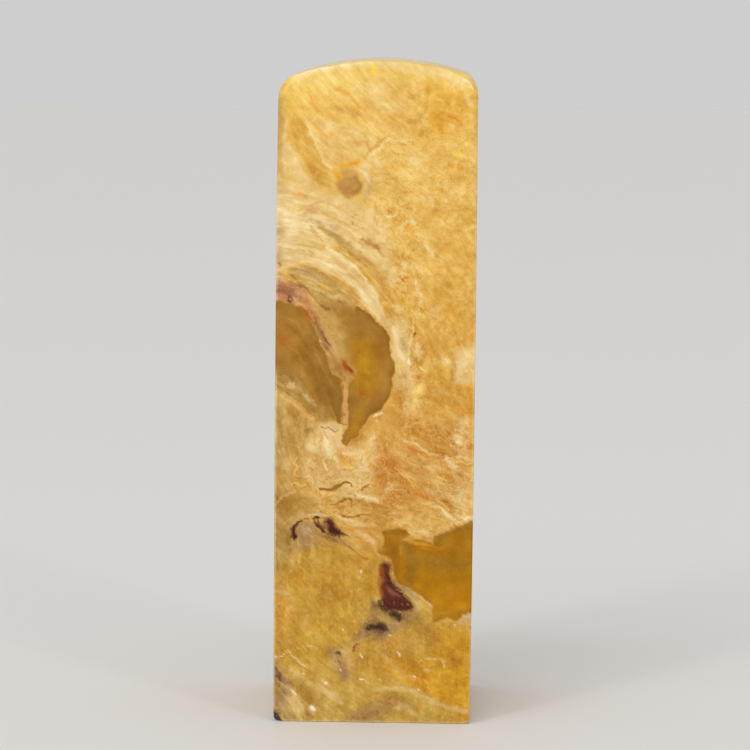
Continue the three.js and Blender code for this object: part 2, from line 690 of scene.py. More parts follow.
def crown_ground() -> tuple[Mark, ...]:
    """Tints of the opaque rock at the top of the front face, with painted highlights along the crown's
    edge and the left edge, and painted shade down the left edge.

    Returns:
        The marks, in drawing order.
    """
    gold_area = run(7, 96.8, 9, 97.4, 11.6, 96.4, 12.8, 94.6, 12.8, 91.6, 11.6, 89.6, 8.6, 89.2, 7.2, 91)
    beige_area = run(
        -1.6, 96, 2.4, 96.4, 6.4, 96, 6.9, 92, 6.5, 90, 4, 88.4, 1.6, 88.6, -0.6, 90.6, -2, 93
    )
    mound = run(0.6, 87.2, 2.1, 88.3, 5, 88.8, 9, 88.4, 13, 88.8, 16, 88, 16, 80, 7, 80, 1, 81, -1, 85)
    folds = run(-10.2, 91.4, -7, 91, -3, 90.4, -0.6, 88.4, -2, 86, -5, 85.2, -7.4, 84.6, -8.8, 87)
    lens = run(
        -12.8, 90, -12.3, 91.2, -11.2, 91.2, -10.5, 90, -9.8, 88.4, -9, 86.8, -8.2, 85.2, -7.3, 83.6,
        -6.8, 82.4, -6.9, 81.4, -7.6, 81, -8.4, 81.4, -9.5, 82.8, -10.8, 85, -12.1, 87.4,
    )
    outer_lens = run(-13.6, 88, -12.8, 87.4, -11.4, 84, -9.6, 81.8, -10.4, 81, -12.6, 82.6, -13.6, 85)
    return drawn(
        # The butter top band is partly the rock's colour and partly painted light, paler towards the
        # crown.
        Patch(BUTTER, run(-16, 101, 16, 101, 16, 96, 8, 97.8, 0, 97.4, -8, 95, -16, 92), 2.0, 0.8),
        # Painted highlights: a soft cream band just under the crown's edge, and two thin milk lines on
        # its shoulders.
        (CREAM, run(-12, 97.8, -8, 98.8, -2, 99.4, 4, 99, 9, 98.2, 13, 96.6), 1.2, 0.5, 1.0, 0.1),
        (MILK, run(-11.4, 97.9, -10, 98.4, -8.2, 98.8, -5, 99.4), 0.24, 0.7, 0.9),
        (MILK, run(12, 97.8, 13, 97.2, 13.8, 96.6, 14.2, 96), 0.24, 0.7, 0.9),
        (LEMON, run(-0.7, 99.6, -0.7, 98.8, -0.4, 97.8), 0.7, 0.95, 0.9),
        (LEMON, run(-9, 96.4, -6, 96.6, -3, 97), 1.2, 0.22),
        (SAFFRON, run(-6.4, 95.8, -5, 95.4, -3.8, 94.6), 0.9, 0.5),
        (SAFFRON, run(-3.9, 94.6, -3.2, 93.6, -2.6, 92.8), 0.5, 0.55),
        (SAFFRON, run(-10.2, 95, -9.4, 93.4, -8.2, 92.2), 0.7, 0.5),
        Patch(FLAX, beige_area, 1.4, 0.45),
        (SAND, run(-0.6, 94.4, 1.6, 93, 4.2, 92.6), 1.2, 0.4),
        (TAN, run(4.6, 90.9, 6, 91.4, 6.5, 92.6), 0.7, 0.6),
        Patch(GOLD, gold_area, 0.9, 0.6),
        (SAFFRON, run(9, 95, 11.4, 94.6, 12.2, 93.4), 1.2, 0.3),
        (SAFFRON, run(8, 90.8, 9.2, 90, 10, 88.8), 0.8, 0.35),
        (SAFFRON, run(11.6, 88, 12.8, 87.4), 0.6, 0.6, 0.9),
        (MARIGOLD, run(8, 92.6, 9.2, 92.3, 10.2, 92.4), 0.4, 0.3),
        (MARIGOLD, run(10.4, 93.8, 10.8, 93.2), 0.4, 0.6, 0.9),
        (MARIGOLD, run(10.4, 92, 11.2, 91.8, 11.6, 91.3), 0.28, 0.6, 0.9),
        (MARIGOLD, run(12.1, 91.2, 12.4, 90.5), 0.4, 0.6, 0.9),
        (MARIGOLD, run(7, 96.2, 7.5, 95.4), 0.5, 0.4),
        (CREAM, run(13, 95.6, 13.8, 93.4), 0.8, 0.45),
        (CREAM, run(10.6, 90.6, 11.6, 89.8), 0.7, 0.25),
        (TAN, run(-7.4, 93, -5, 92.6, -2.6, 92), 0.9, 0.55),
        (TAN, run(-9.8, 91.2, -8.4, 90.6, -7.2, 89.4), 0.6, 0.45),
        Patch(CREAM, folds, 1.4, 0.25),
        (GOLD, run(-9.4, 90.6, -8.2, 89.4, -6.6, 88.6), 1.4, 0.6),
        (CREAM, run(-8.6, 91.6, -7.4, 90.8, -5, 90.4), 0.4, 0.35),
        (CREAM, run(-5, 89.6, -3, 89.3, -1.8, 88.4), 0.5, 0.5),
        (CREAM, run(-1.6, 88.9, -0.6, 88), 0.4, 0.6, 0.9),
        (SAND, run(-7.8, 87, -6.8, 87.6, -6.2, 86.6), 0.35, 0.6, 0.9, 0.3),
        (TAN, run(-4.8, 87.8, -3, 87.6, -1.6, 88), 0.8, 0.4),
        (LEMON, run(-9.6, 96, -11, 95.4), 1.2, 0.3),
        # Painted shade: two drab streaks darken the rock down the left edge.
        (DRAB, run(-15.2, 97.6, -15, 93, -15, 90), 1.6, 0.5, 1.0, 0.2),
        (DRAB, run(-14.6, 94, -14.4, 88, -14.2, 82, -14.4, 75), 1.5, 0.6, 1.0, 0.1),
        # Painted highlight: a soft cream streak just inside the left edge, where its rounding catches
        # the light.
        (CREAM, run(-13.6, 91, -13.9, 86, -13.7, 83), 0.4, 0.4, 1.0, 0.2),
        Patch(HONEY, mound, 1.0, 0.5),
        (SAND, run(-2.4, 84.2, -0.6, 85.6, 0.4, 84), 1.2, 0.5),
        (LILAC, run(-1.8, 84, -1, 82, -1.6, 79.6), 1.6, 0.45),
        (CREAM, run(-2.4, 83.8, -1.6, 83, -1.2, 82), 0.7, 0.6),
        (CREAM, run(-0.9, 86, 0.5, 87, 1, 87.9, 2, 88.4), 0.32, 0.8, 0.8, 0.3),
        (CREAM, run(2, 88.4, 3.4, 88.2, 5.4, 88.5), 0.3, 0.5, 0.9),
        (CREAM, run(4.4, 85.6, 6.6, 85.2), 0.9, 0.45),
        (GOLD, run(1.2, 84.8, 2.3, 84.3, 3.4, 83.6), 0.8, 0.75, 0.8),
        (TAN, run(1.6, 83.6, 2.6, 82.6, 3.2, 81.6), 0.6, 0.5),
        (LEMON, run(8.3, 90, 9.1, 89.6), 0.8, 0.45),
        (LEMON, run(11, 86.8, 12.4, 86.2, 13.2, 85.6), 0.9, 0.55),
        (SAFFRON, run(10.6, 84.6, 12, 84.2, 13.4, 84), 0.9, 0.5, 0.9),
        (SAFFRON, run(8.2, 83.2, 9.4, 82.6), 0.7, 0.5),
        Patch(SAND, outer_lens, 0.4, 0.6),
        Patch(GOLD, lens, 0.2, 0.85),
        Patch(DRAB, lens, 0.6, 0.35),
        (TAN, run(-9.6, 84.6, -8.6, 82.8, -8, 81.8), 1.1, 0.35),
        (CREAM, run(-10.6, 90.8, -9.6, 88.6, -8.7, 86.9, -7.9, 85, -7, 84), 0.28, 0.6, 0.9, 0.3),
        (SAND, run(-12.6, 86, -11.4, 84, -9.8, 82.2, -8.4, 81), 0.3, 0.7, 0.9, 0.3),
    )


def laminated_ground() -> tuple[Mark, ...]:
    """Tints of the laminated rock above the clear lobes, with painted shade down the left edge.

    Returns:
        The marks, in drawing order.
    """
    whole = run(
        -16, 81.5, -8, 80.6, -3, 79, 0, 77, 2, 72, 1, 69, -3, 70.6, -8, 74.4, -12, 73.4, -16, 73
    )
    band = run(
        -16, 73, -12.5, 72.6, -9.4, 71.7, -7, 71.6, -5.1, 70.6, -3.3, 69.4, -1.6, 67.6, -0.4, 65.8,
        0.6, 63.8, 1.5, 62, 2.5, 60.6, 0.7, 60.6, -0.4, 62.1, -2.3, 64.2, -3.3, 66, -5.4, 67.5,
        -7.6, 68.7, -9.9, 69.7, -12.5, 69.9, -16, 70.4,
    )
    moss = run(
        -13.2, 68.2, -11.5, 69.5, -9.7, 69.4, -8.1, 68.5, -6.5, 67.4, -5.1, 66.6, -4.7, 65.4,
        -3.1, 63.6, -4.3, 63.2, -7.2, 62.6, -8.5, 63.9, -9.7, 65, -10.7, 66, -11.9, 67,
    )
    grey_band = run(-8.5, 75.3, -6.5, 74, -4.9, 72.6, -3.5, 71.5, -1.9, 70.4, -0.6, 69.4)
    grey_tail = run(-3, 71.2, -1.6, 70, -0.4, 68.8, 0.3, 67.6, 0.9, 66, 2, 64, 2.9, 62.4)
    grey_lens = run(-4.9, 65.9, -3.6, 66.4, -2.6, 65.5, -2.2, 64.4, -2.8, 63.6, -3.9, 63.9, -4.7, 64.7)
    return drawn(
        Patch(SAND, whole, 1.4, 0.65),
        Patch(CREAM, run(-13, 76.4, -8, 77, -5.4, 74.4, -8.6, 71.6, -13, 72), 1.2, 0.5),
        (SAFFRON, run(-12.4, 80.2, -10.5, 79.6), 0.7, 0.6),
        (LEMON, run(-13, 77.8, -11.6, 77.9), 0.6, 0.45),
        (CREAM, run(-13, 76, -11.2, 75.6), 1.1, 0.7),
        (CREAM, run(-5.4, 79.6, -6.8, 78.4), 0.9, 0.5),
        (PEACH, run(-10.9, 77.2, -8.6, 77.8), 0.8, 0.7, 0.9),
        (LILAC, run(-10, 76.4, -8.3, 75.8), 0.8, 0.7, 0.9),
        (LILAC, run(-6.9, 75.4, -5.4, 75), 0.7, 0.6, 0.9),
        (DRAB, grey_band, 1.0, 0.8, 0.8, 0.4),
        (TAN, grey_tail, 1.1, 0.8, 0.9, 0.3),
        (GOLD, run(-0.8, 69.2, -0.1, 68.5), 0.7, 0.6, 0.9),
        (TAUPE, run(-2.1, 73.6, -0.9, 72.9, 0.4, 72), 0.75, 0.8, 0.7),
        (TAUPE, run(0.3, 72, 1.3, 70.8), 0.5, 0.5, 0.9),
        (CREAM, run(-4.9, 74, -3.4, 72.9, -1.7, 71.6), 0.45, 0.8, 0.8),
        (PEACH, run(-9.9, 75.2, -8.2, 73.4), 0.5, 0.7, 0.9),
        Patch(SAND, band, 0.3, 0.85),
        (CREAM, run(-14, 71.2, -10.6, 70.8, -7.4, 69.8, -4.6, 68.4), 0.9, 0.6),
        # Painted shade: a lilac streak darkens the rock down the left edge.
        (LILAC, run(-15, 75.5, -14.8, 72, -15, 67), 2.0, 0.6, 1.0, 0.1),
        (CREAM, run(-15, 72.5, -12.5, 72.3, -10.5, 71.7), 0.4, 0.9, 0.7, 0.3),
        (CREAM, run(-7.6, 72.2, -5.9, 71.2, -3.1, 69.2, -1.5, 67.6), 0.4, 0.9, 0.7),
        (CREAM, run(-2.2, 68.4, -0.8, 66.4, 0.1, 65, 0.9, 63, 1.7, 61.4), 0.35, 0.75, 0.8),
        (CREAM, run(-5, 68.2, -3.4, 67, -2.3, 65.7, -1.2, 64, -0.4, 62.8), 0.38, 0.8, 0.8),
        (CREAM, run(-12.5, 70.5, -9.9, 70.1, -7.4, 69.1), 0.35, 0.6, 0.8),
        (FLAX, run(-14, 71.3, -10.4, 71, -7.6, 70.2, -4.9, 69), 0.35, 0.5, 0.9),
        Patch(DRAB, moss, 0.3, 0.9),
        (LILAC, run(-12, 68.6, -10, 68.2, -8.6, 67), 0.9, 0.5),
        (DRAB, run(-9.5, 68.6, -7.6, 67.6, -6, 66.6), 0.5, 0.6, 0.9),
        (SAND, run(-7.2, 65.2, -6.4, 64.6, -5.4, 65), 0.35, 0.7, 0.9),
        (GOLD, run(-8.2, 66.6, -6.8, 65.8), 0.6, 0.6, 0.9),
        (BRONZE, run(-6.4, 63.6, -4.4, 63.8), 0.6, 0.6, 0.9),
        Patch(TAN, grey_lens, 0.35, 0.8),
        (LILAC, run(-4.2, 65.6, -3.2, 65.2), 0.6, 0.35),
        (KHAKI, run(-11.4, 66.4, -9.6, 65.2, -7.4, 64.4, -5.8, 62.8), 0.9, 0.6, 1.0, 0.3),
        (SMOKE, run(-14.6, 69.8, -14.1, 69.2), 0.4, 0.6, 0.9),
        (CREAM, run(-15, 68.6, -13, 69.2), 0.5, 0.5, 0.9),
    )


def vein_ground() -> tuple[Mark, ...]:
    """Tints of the rosy vein between the clear lobes, and of the rock beside them.

    Returns:
        The marks, in drawing order.
    """
    vein = run(
        -16, 67.4, -13.4, 67.2, -11.6, 66.6, -10.5, 65.6, -9.8, 64, -8.2, 62.2, -7.2, 60, -5.9, 57.8,
        -4.9, 55.4, -4.4, 53, -4.3, 50, -4.3, 46.6, -4.3, 45.7, -4.8, 45.7, -5, 49, -5.2, 51.8,
        -6.4, 53.6, -7.4, 56, -8.5, 58.6, -9.6, 61, -10.9, 62.6, -12.5, 63.9, -16, 63.9,
    )
    khaki = run(
        -16, 54.4, -13.3, 54.2, -11.5, 53.6, -10.4, 52.4, -9.8, 51.2, -9.3, 49.8, -8.4, 48.4,
        -7.2, 47.2, -6.6, 46.2, -8.3, 45.8, -9.7, 47.2, -11, 48.8, -13.3, 50.4, -16, 52,
    )
    slant = run(
        -16, 51.4, -13.3, 50.1, -12.1, 49.2, -10.9, 48.4, -9.7, 47, -8.5, 45.6, -8.2, 45.1,
        -9.4, 45.4, -10.4, 46.1, -11.6, 47, -12.9, 48.2, -14.2, 49, -16, 49.4,
    )
    drab = run(
        -16, 49.2, -13.4, 48.4, -11, 46.6, -9.2, 45.2, -9.4, 43.8, -10.8, 42.6, -11.6, 40,
        -12.6, 36, -16, 34,
    )
    wisp = run(5.3, 69.9, 5.8, 68.2, 6.1, 66.2, 6.8, 64.9, 6.6, 63.3, 5.7, 61.8, 5.6, 60)
    crust = run(
        1.2, 60.8, 2.2, 59, 2.4, 57, 2.8, 55, 3, 53, 2.9, 51, 4.6, 51.4, 5.5, 54, 5.4, 57,
        5.2, 59.4, 4, 61.6, 2.4, 62,
    )
    beige = run(
        -9, 64.4, -6, 63.6, -3.4, 63.4, -2, 61, -1.6, 57.6, -2, 54, -3.4, 51, -4.4, 50, -6, 53.6,
        -7.6, 57.6, -9.4, 61.4,
    )
    return drawn(
        Patch(ROSE, vein, 0.3, 0.65),
        Patch(DRAB, beige, 0.8, 0.85),
        Patch(KHAKI, run(-5.4, 63.6, -3.6, 63.4, -2.6, 61, -2.6, 57, -4, 56.6, -5.2, 60), 0.9, 0.7),
        (MOSS, run(-8, 63.6, -5.6, 62.4, -4, 60.4), 0.9, 0.6),
        (UMBER, run(-9.2, 61.2, -8.2, 59.2, -7.4, 57.4, -6.8, 55.6, -5.9, 53.8), 0.8, 0.5, 1.0, 0.3),
        (MAUVE, run(-15, 65.8, -13.4, 65.4, -11.8, 64.4), 1.3, 0.6, 1.0, 0.2),
        (PEACH, run(-9.6, 63.4, -8.4, 61.6, -7.3, 59.8, -6.4, 58, -5.8, 56.4), 0.6, 0.55, 0.9),
        (PEACH, run(-8.1, 57.4, -7.1, 56, -6.4, 54.4, -5.5, 53.2), 0.3, 0.6, 0.9),
        (BRONZE, run(-6, 55, -5.2, 53.8, -4.6, 52.2), 0.8, 0.65),
        (PEACH, run(-4.6, 51.6, -4.5, 50.4, -4.5, 48, -4.5, 46), 0.4, 0.7, 0.9, 0.2),
        (PEACH, run(-12.2, 64.5, -10.9, 63.4, -10, 62.2, -9.2, 61), 0.45, 0.8, 0.9),
        Patch(KHAKI, khaki, 0.5, 0.95),
        (DRAB, run(-13.8, 52.8, -12.2, 51.4, -10.8, 50.4), 0.9, 0.6),
        (UMBER, run(-7.4, 49.6, -6.8, 48, -6, 46.2), 1.0, 0.75),
        (SAND, run(-12.5, 51.4), 0.75, 0.6, 0.5),
        (SAND, run(-10.6, 49.9, -8.6, 48.2), 0.5, 0.5, 0.9),
        Patch(TAN, slant, 0.22, 0.7),
        (SAND, run(-15, 50.2, -13, 49.2, -11.2, 47.8, -9.6, 46.2), 0.4, 0.5, 0.9),
        Patch(DRAB, drab, 0.7, 0.85),
        (MOSS, run(-14, 47.8, -12.4, 46.8, -11, 45.8, -9, 46), 0.8, 0.6),
        (SAND, run(-13.6, 47.4), 0.5, 0.7),
        (KHAKI, run(-14.6, 49.4, -14.4, 44, -14.4, 38.6), 1.5, 0.7, 1.0, 0.2),
        (MOSS, run(-12, 45.4, -10, 44.6, -8, 45), 0.9, 0.5),
        (TAN, run(-13, 40.6, -12.2, 38.4, -12.4, 36.4), 1.0, 0.6),
        (DRAB, run(-11, 39.4, -10.6, 36.6), 1.0, 0.7),
        Patch(SAND, crust, 0.6, 0.6),
        (CREAM, run(2.9, 60.4, 3.4, 57.6, 4.2, 55.4), 0.9, 0.7),
        (LILAC, run(3.9, 58.6, 4.4, 56.4), 0.6, 0.5),
        (MILK, run(4.9, 55.7, 5.2, 54.5), 0.25, 0.9, 0.8),
        (CREAM, run(5.4, 59.6, 5.1, 57.2, 4.9, 55.8), 0.3, 0.7, 0.8),
        (CREAM, run(6.2, 58, 6.6, 55.8), 0.9, 0.6),
        (CREAM, run(6.6, 54.5, 7.5, 53.8), 0.22, 0.8, 0.8),
        (CREAM, wisp, 0.3, 0.45, 1.0, 0.4),
        (CREAM, run(1.4, 70.4, 2.2, 68.6, 2.4, 66.4), 1.5, 0.5),
        (CREAM, run(3.4, 70.4, 4.4, 69.4, 3.4, 67.6, 2.8, 66.6), 0.5, 0.5, 0.9),
        (SAND, run(2.4, 63.4, 4.4, 62.2), 0.9, 0.6),
        (GOLD, run(3.6, 65, 4.8, 63.6), 0.7, 0.6),
        (SAND, run(5.9, 53.4, 5, 50, 4.8, 46.6), 1.2, 0.4),
        (APRICOT, run(2.8, 50, 4.4, 49.6), 0.9, 0.35),
    )


def granular_ground() -> tuple[Mark, ...]:
    """Tints of the grainy golden rock down the right side.

    Returns:
        The marks, in drawing order.
    """
    pale = run(12.8, 56.8, 13.9, 57.6, 16, 57.8, 16, 52, 14.1, 52.5, 13.2, 53.8, 13, 55.2)
    apricot = run(0.6, 43.6, 2.6, 47.6, 5, 48, 9, 47, 16, 44.4, 16, 41, 9, 41.4, 4, 43, 1.6, 41)
    return drawn(
        Patch(SAND, pale, 0.6, 0.5),
        (CREAM, run(14.1, 56.6, 14.2, 54), 0.8, 0.5),
        (GOLD, run(4.2, 75.6, 5.2, 74.6, 5, 73.4), 0.9, 0.7, 0.9),
        (CREAM, run(4, 75.9, 5.2, 76.4, 5.6, 75.8), 0.5, 0.7, 0.8),
        (CREAM, run(1.5, 77, 2.3, 76.8, 3.2, 77.4), 0.35, 0.8, 0.8),
        (CREAM, run(7.2, 72.9, 7.8, 72.2, 8.6, 71.4), 0.5, 0.8, 0.9),
        (SAFFRON, run(7, 69.2, 9.2, 69.4), 0.5, 0.5, 0.9),
        (SAFFRON, run(9.3, 77.4, 10.3, 75.9), 0.8, 0.35),
        (SAFFRON, run(10.6, 63.6, 11.8, 61.2), 1.1, 0.4),
        (SAND, run(8.4, 63.6, 9.3, 61.8), 0.8, 0.5),
        (CREAM, run(8, 80, 8.6, 78.4), 0.35, 0.7, 0.8),
        (SAND, run(6.9, 80, 8.4, 79.6), 0.7, 0.4),
        (HONEY, run(12, 83, 14, 80), 1.2, 0.35),
        (SAFFRON, run(14.6, 62, 14.4, 50, 14.6, 36, 14.4, 31), 1.0, 0.45, 1.0, 0.1),
        (BUTTER, run(8, 56.6, 7.4, 53, 5.6, 48), 1.0, 0.6),
        (BUTTER, run(1.2, 64, 4, 63, 7.4, 62), 1.0, 0.5),
        (BUTTER, run(3.6, 72.4, 5.6, 71), 1.1, 0.5),
        (BUTTER, run(10, 90.4, 11, 86), 1.2, 0.4),
        (BUTTER, run(9.6, 42.6, 11.6, 41.4), 0.9, 0.5),
        (TAN, run(8.6, 58.2, 9.4, 54.4), 1.2, 0.35),
        (SAND, run(10, 56, 11.6, 54.4), 0.9, 0.4),
        (SAND, run(9.6, 51.6, 10.8, 50.2), 0.9, 0.4),
        (SAFFRON, run(11.4, 48.8, 13.6, 47.6), 1.2, 0.35),
        Patch(APRICOT, apricot, 1.0, 0.22),
        (MARIGOLD, run(5.2, 44.6, 8.4, 44.7), 0.7, 0.2),
        (MARIGOLD, run(4.4, 42.4, 7, 41.4, 9.2, 40.4), 0.6, 0.5, 0.9),
        (SAND, run(4.5, 43.3, 6.4, 42.6, 8.1, 41.5, 9.7, 40.9), 0.35, 0.75, 0.8),
        (CREAM, run(12.3, 43.4, 13.2, 43.1), 0.6, 0.6, 0.9),
        (CREAM, run(10.7, 40.9, 11.6, 39.6, 12.6, 39.3), 0.6, 0.7, 0.9),
        (CREAM, run(12.3, 40.9, 14.6, 40.3), 0.35, 0.6, 0.9),
        (CREAM, run(-0.2, 46.6, 0.4, 47.1, 1.2, 47.4), 0.3, 0.9, 0.8),
        (CREAM, run(-0.6, 43.2, 0.2, 43.8), 0.4, 0.7, 0.9),
        (CREAM, run(0.1, 46.3, 0.4, 45.7), 0.35, 0.6, 0.8),
    )


def crust_ground() -> tuple[Mark, ...]:
    """Tints of the crust of torn leaves under the clear lobes.

    Returns:
        The marks, in drawing order.
    """
    pale = run(
        -8.3, 45.4, -6.4, 45.8, -4.8, 45.3, -4.4, 44, -4.4, 42.2, -3, 42.6, -1.8, 43.2, 0, 43.4,
        0.6, 41, 0, 38, -2, 35, -5, 33.6, -8.6, 35.6, -10.6, 38.4, -10.6, 42.4, -9.6, 43.8,
    )
    apricot = run(
        0.6, 42, 2.6, 41, 4.4, 38.8, 6.4, 36.6, 8.6, 35, 7.6, 34.4, 5, 34.6, 2.4, 34, 0.6, 36, 0.2, 39
    )
    ledge = run(
        5.9, 32.7, 7.1, 33.2, 8.5, 33.9, 9.9, 33.9, 11.1, 33.1, 12.5, 31.9, 13.6, 31.2, 16, 31.4,
        16, 30.4, 13.3, 30.3, 11.7, 29.4, 10.3, 28.7, 9.6, 27.6, 8.1, 28, 6.9, 28.2, 5.6, 27.9,
        5.2, 29, 4.2, 29.9, 2.6, 30.2, 3.6, 31.4,
    )
    peach = run(-4.6, 31, -1, 31.2, 2, 30.6, 1, 29.6, 0.9, 27.4, 0.4, 25.6, -2.6, 27.4, -4.6, 29)
    mustard = run(
        -16, 36, -13, 35, -10, 34.6, -8.4, 33.4, -7.4, 32, -9, 32.4, -10.8, 32.2, -12.6, 31,
        -13.6, 29.4, -16, 28,
    )
    orange_line = run(2.5, 33.6, 5, 33.7, 6.6, 34.4, 9.5, 34.4, 11.1, 33.4, 12.6, 32.2)
    under_ledge = run(2.6, 29.8, 4.6, 29.6, 5.8, 28.4, 8, 28.4, 9.6, 28.2, 11, 29.4, 13, 30.4)
    lilac = run(-11.4, 30.2, -9.4, 30.6, -8.2, 29, -8.8, 27, -10.2, 25.8, -11.6, 26.6)
    return drawn(
        Patch(SAND, pale, 0.5, 0.5),
        (SAFFRON, run(-5.8, 41, -4.2, 40, -2.8, 40.6), 1.1, 0.55),
        (GOLD, run(-2.2, 42.4, -0.8, 41, -0.4, 38.6), 0.9, 0.7),
        (SAFFRON, run(-8.2, 37, -7.2, 36.2), 0.6, 0.6),
        (LILAC, run(-7.4, 45.4, -6.2, 45.2, -5.2, 44.6), 0.6, 0.6, 0.9),
        (CREAM, run(-7.4, 43.4, -6.8, 41.4, -5.4, 40), 1.0, 0.7, 0.9),
        (LILAC, run(-6.4, 43.8, -5.9, 42.8), 0.6, 0.5),
        (CREAM, run(-9.8, 42.6, -9, 41.4), 0.9, 0.5),
        (CREAM, run(-4.8, 41, -2.4, 41.3, -0.6, 41.8), 0.5, 0.5, 0.9),
        (CREAM, run(-3.4, 38.4, -1.2, 38.9, 0, 38.2), 0.8, 0.3),
        (TAN, run(-9.6, 39.4, -8.6, 36.4), 0.9, 0.6),
        (LEMON, run(-3.9, 39.4, -3.1, 38.9), 0.5, 0.5),
        (SAFFRON, run(-8.4, 35.4, -6.2, 34.4), 0.9, 0.5),
        Patch(APRICOT, apricot, 0.9, 0.75),
        (MARIGOLD, run(1, 41, 1.7, 39.8, 3.7, 38.5, 5.3, 37.1, 6.9, 35.7), 0.6, 0.3, 0.9, 0.4),
        (SAND, run(1.6, 35.4, 3.2, 36.4), 0.8, 0.4),
        (SAFFRON, run(4, 37, 6, 35.8, 7.6, 34.8), 0.8, 0.4),
        (BRONZE, run(3.6, 38.3, 5.2, 36.9, 6.6, 35.5), 0.35, 0.5),
        (SAND, run(6.4, 41.6, 8.4, 39, 10, 37.6), 0.5, 0.4),
        (HONEY, run(9, 37.6, 12, 36), 1.3, 0.5),
        (APRICOT, run(9.6, 38.4, 12.6, 36.8, 14.6, 35.8), 0.4, 0.5, 0.9),
        (SAND, run(7.6, 35.8, 10.6, 35.4, 13.6, 33.8), 0.8, 0.5),
        (MARIGOLD, orange_line, 0.42, 0.4, 0.9, 0.5),
        (APRICOT, run(-2, 33.3, 1, 33.2, 3.4, 33.4), 0.6, 0.55, 0.9),
        (CREAM, run(-2.4, 34.6, -1.1, 34.6, 0.8, 34), 0.7, 0.85, 0.9),
        Patch(FLAX, ledge, 0.3, 0.6),
        (APRICOT, run(3, 31.4, 5.2, 32.4, 7.4, 32.6), 1.0, 0.6),
        (APRICOT, under_ledge, 0.5, 0.7, 0.9),
        (CREAM, run(8.4, 33.4, 10, 33, 11.6, 31.6, 13, 30.9), 0.4, 0.65, 0.9),
        (CREAM, run(6.2, 29.6, 8.2, 29.2, 9.4, 28.2), 0.5, 0.5, 0.9),
        (SAND, run(3.2, 30.6, 5, 30.8), 0.5, 0.5, 0.9),
        (FLAX, run(2, 32.2, 5.4, 32, 8, 31), 0.7, 0.4),
        (MILK, run(13.4, 31.3, 15, 31.8), 0.3, 0.7, 0.9),
        Patch(APRICOT, peach, 0.7, 0.45),
        (SAND, run(-5.6, 31.8, -2.6, 30.6, 0.6, 30.2), 0.5, 0.6, 0.9),
        (SAND, run(-2.6, 29.4, -0.4, 28, 0.6, 26), 0.7, 0.6),
        Patch(MOSS, mustard, 0.6, 0.75),
        (KHAKI, run(-10.4, 32.2, -8, 31.6, -6, 31.4), 0.8, 0.5),
        (LILAC, run(-12.4, 31.2, -11, 31.8, -9.4, 31.9), 0.5, 0.5),
        (KHAKI, run(-15, 31, -13.4, 30.6, -12.4, 31.4), 1.2, 0.6),
        (MOSS, run(-13.8, 31.4, -12.2, 33.4, -9.6, 34.4), 0.8, 0.55, 0.9),
        (DRAB, run(-12.9, 30.6, -11.2, 32, -9.4, 32.5, -7.8, 32.1), 0.45, 0.8, 0.8),
        (SAND, run(-15, 33, -13.4, 34.6, -11.6, 35.4), 0.4, 0.5, 0.9),
        Patch(KHAKI, run(-13.6, 29.8, -12.6, 28.4, -12.6, 25, -13.2, 23.4, -16, 23, -16, 29), 0.8, 0.8),
        (SAND, run(-12.2, 24.6, -10.4, 23.8, -9.8, 22.4), 1.3, 0.4),
        Patch(SMOKE, lilac, 0.8, 0.85),
        (LILAC, run(-10.8, 30, -10.2, 28.4, -9.8, 27.6), 0.6, 0.25),
        (TAN, run(-9.2, 28.4, -7.4, 27.6), 0.9, 0.5),
        (MAUVE, run(-8.6, 31, -8.2, 30.2, -7.6, 29.8), 0.7, 0.7),
        (SMOKE, run(-8.4, 28.9, -6.8, 28.4, -5.2, 27.8, -3.6, 27), 0.7, 0.8),
        (SMOKE, run(-7.5, 30.8, -7.3, 29.6), 0.6, 0.8, 0.9),
        (SAND, run(-10, 31.6, -8.8, 31.9, -6.4, 31.6), 0.35, 0.7, 0.9),
    )


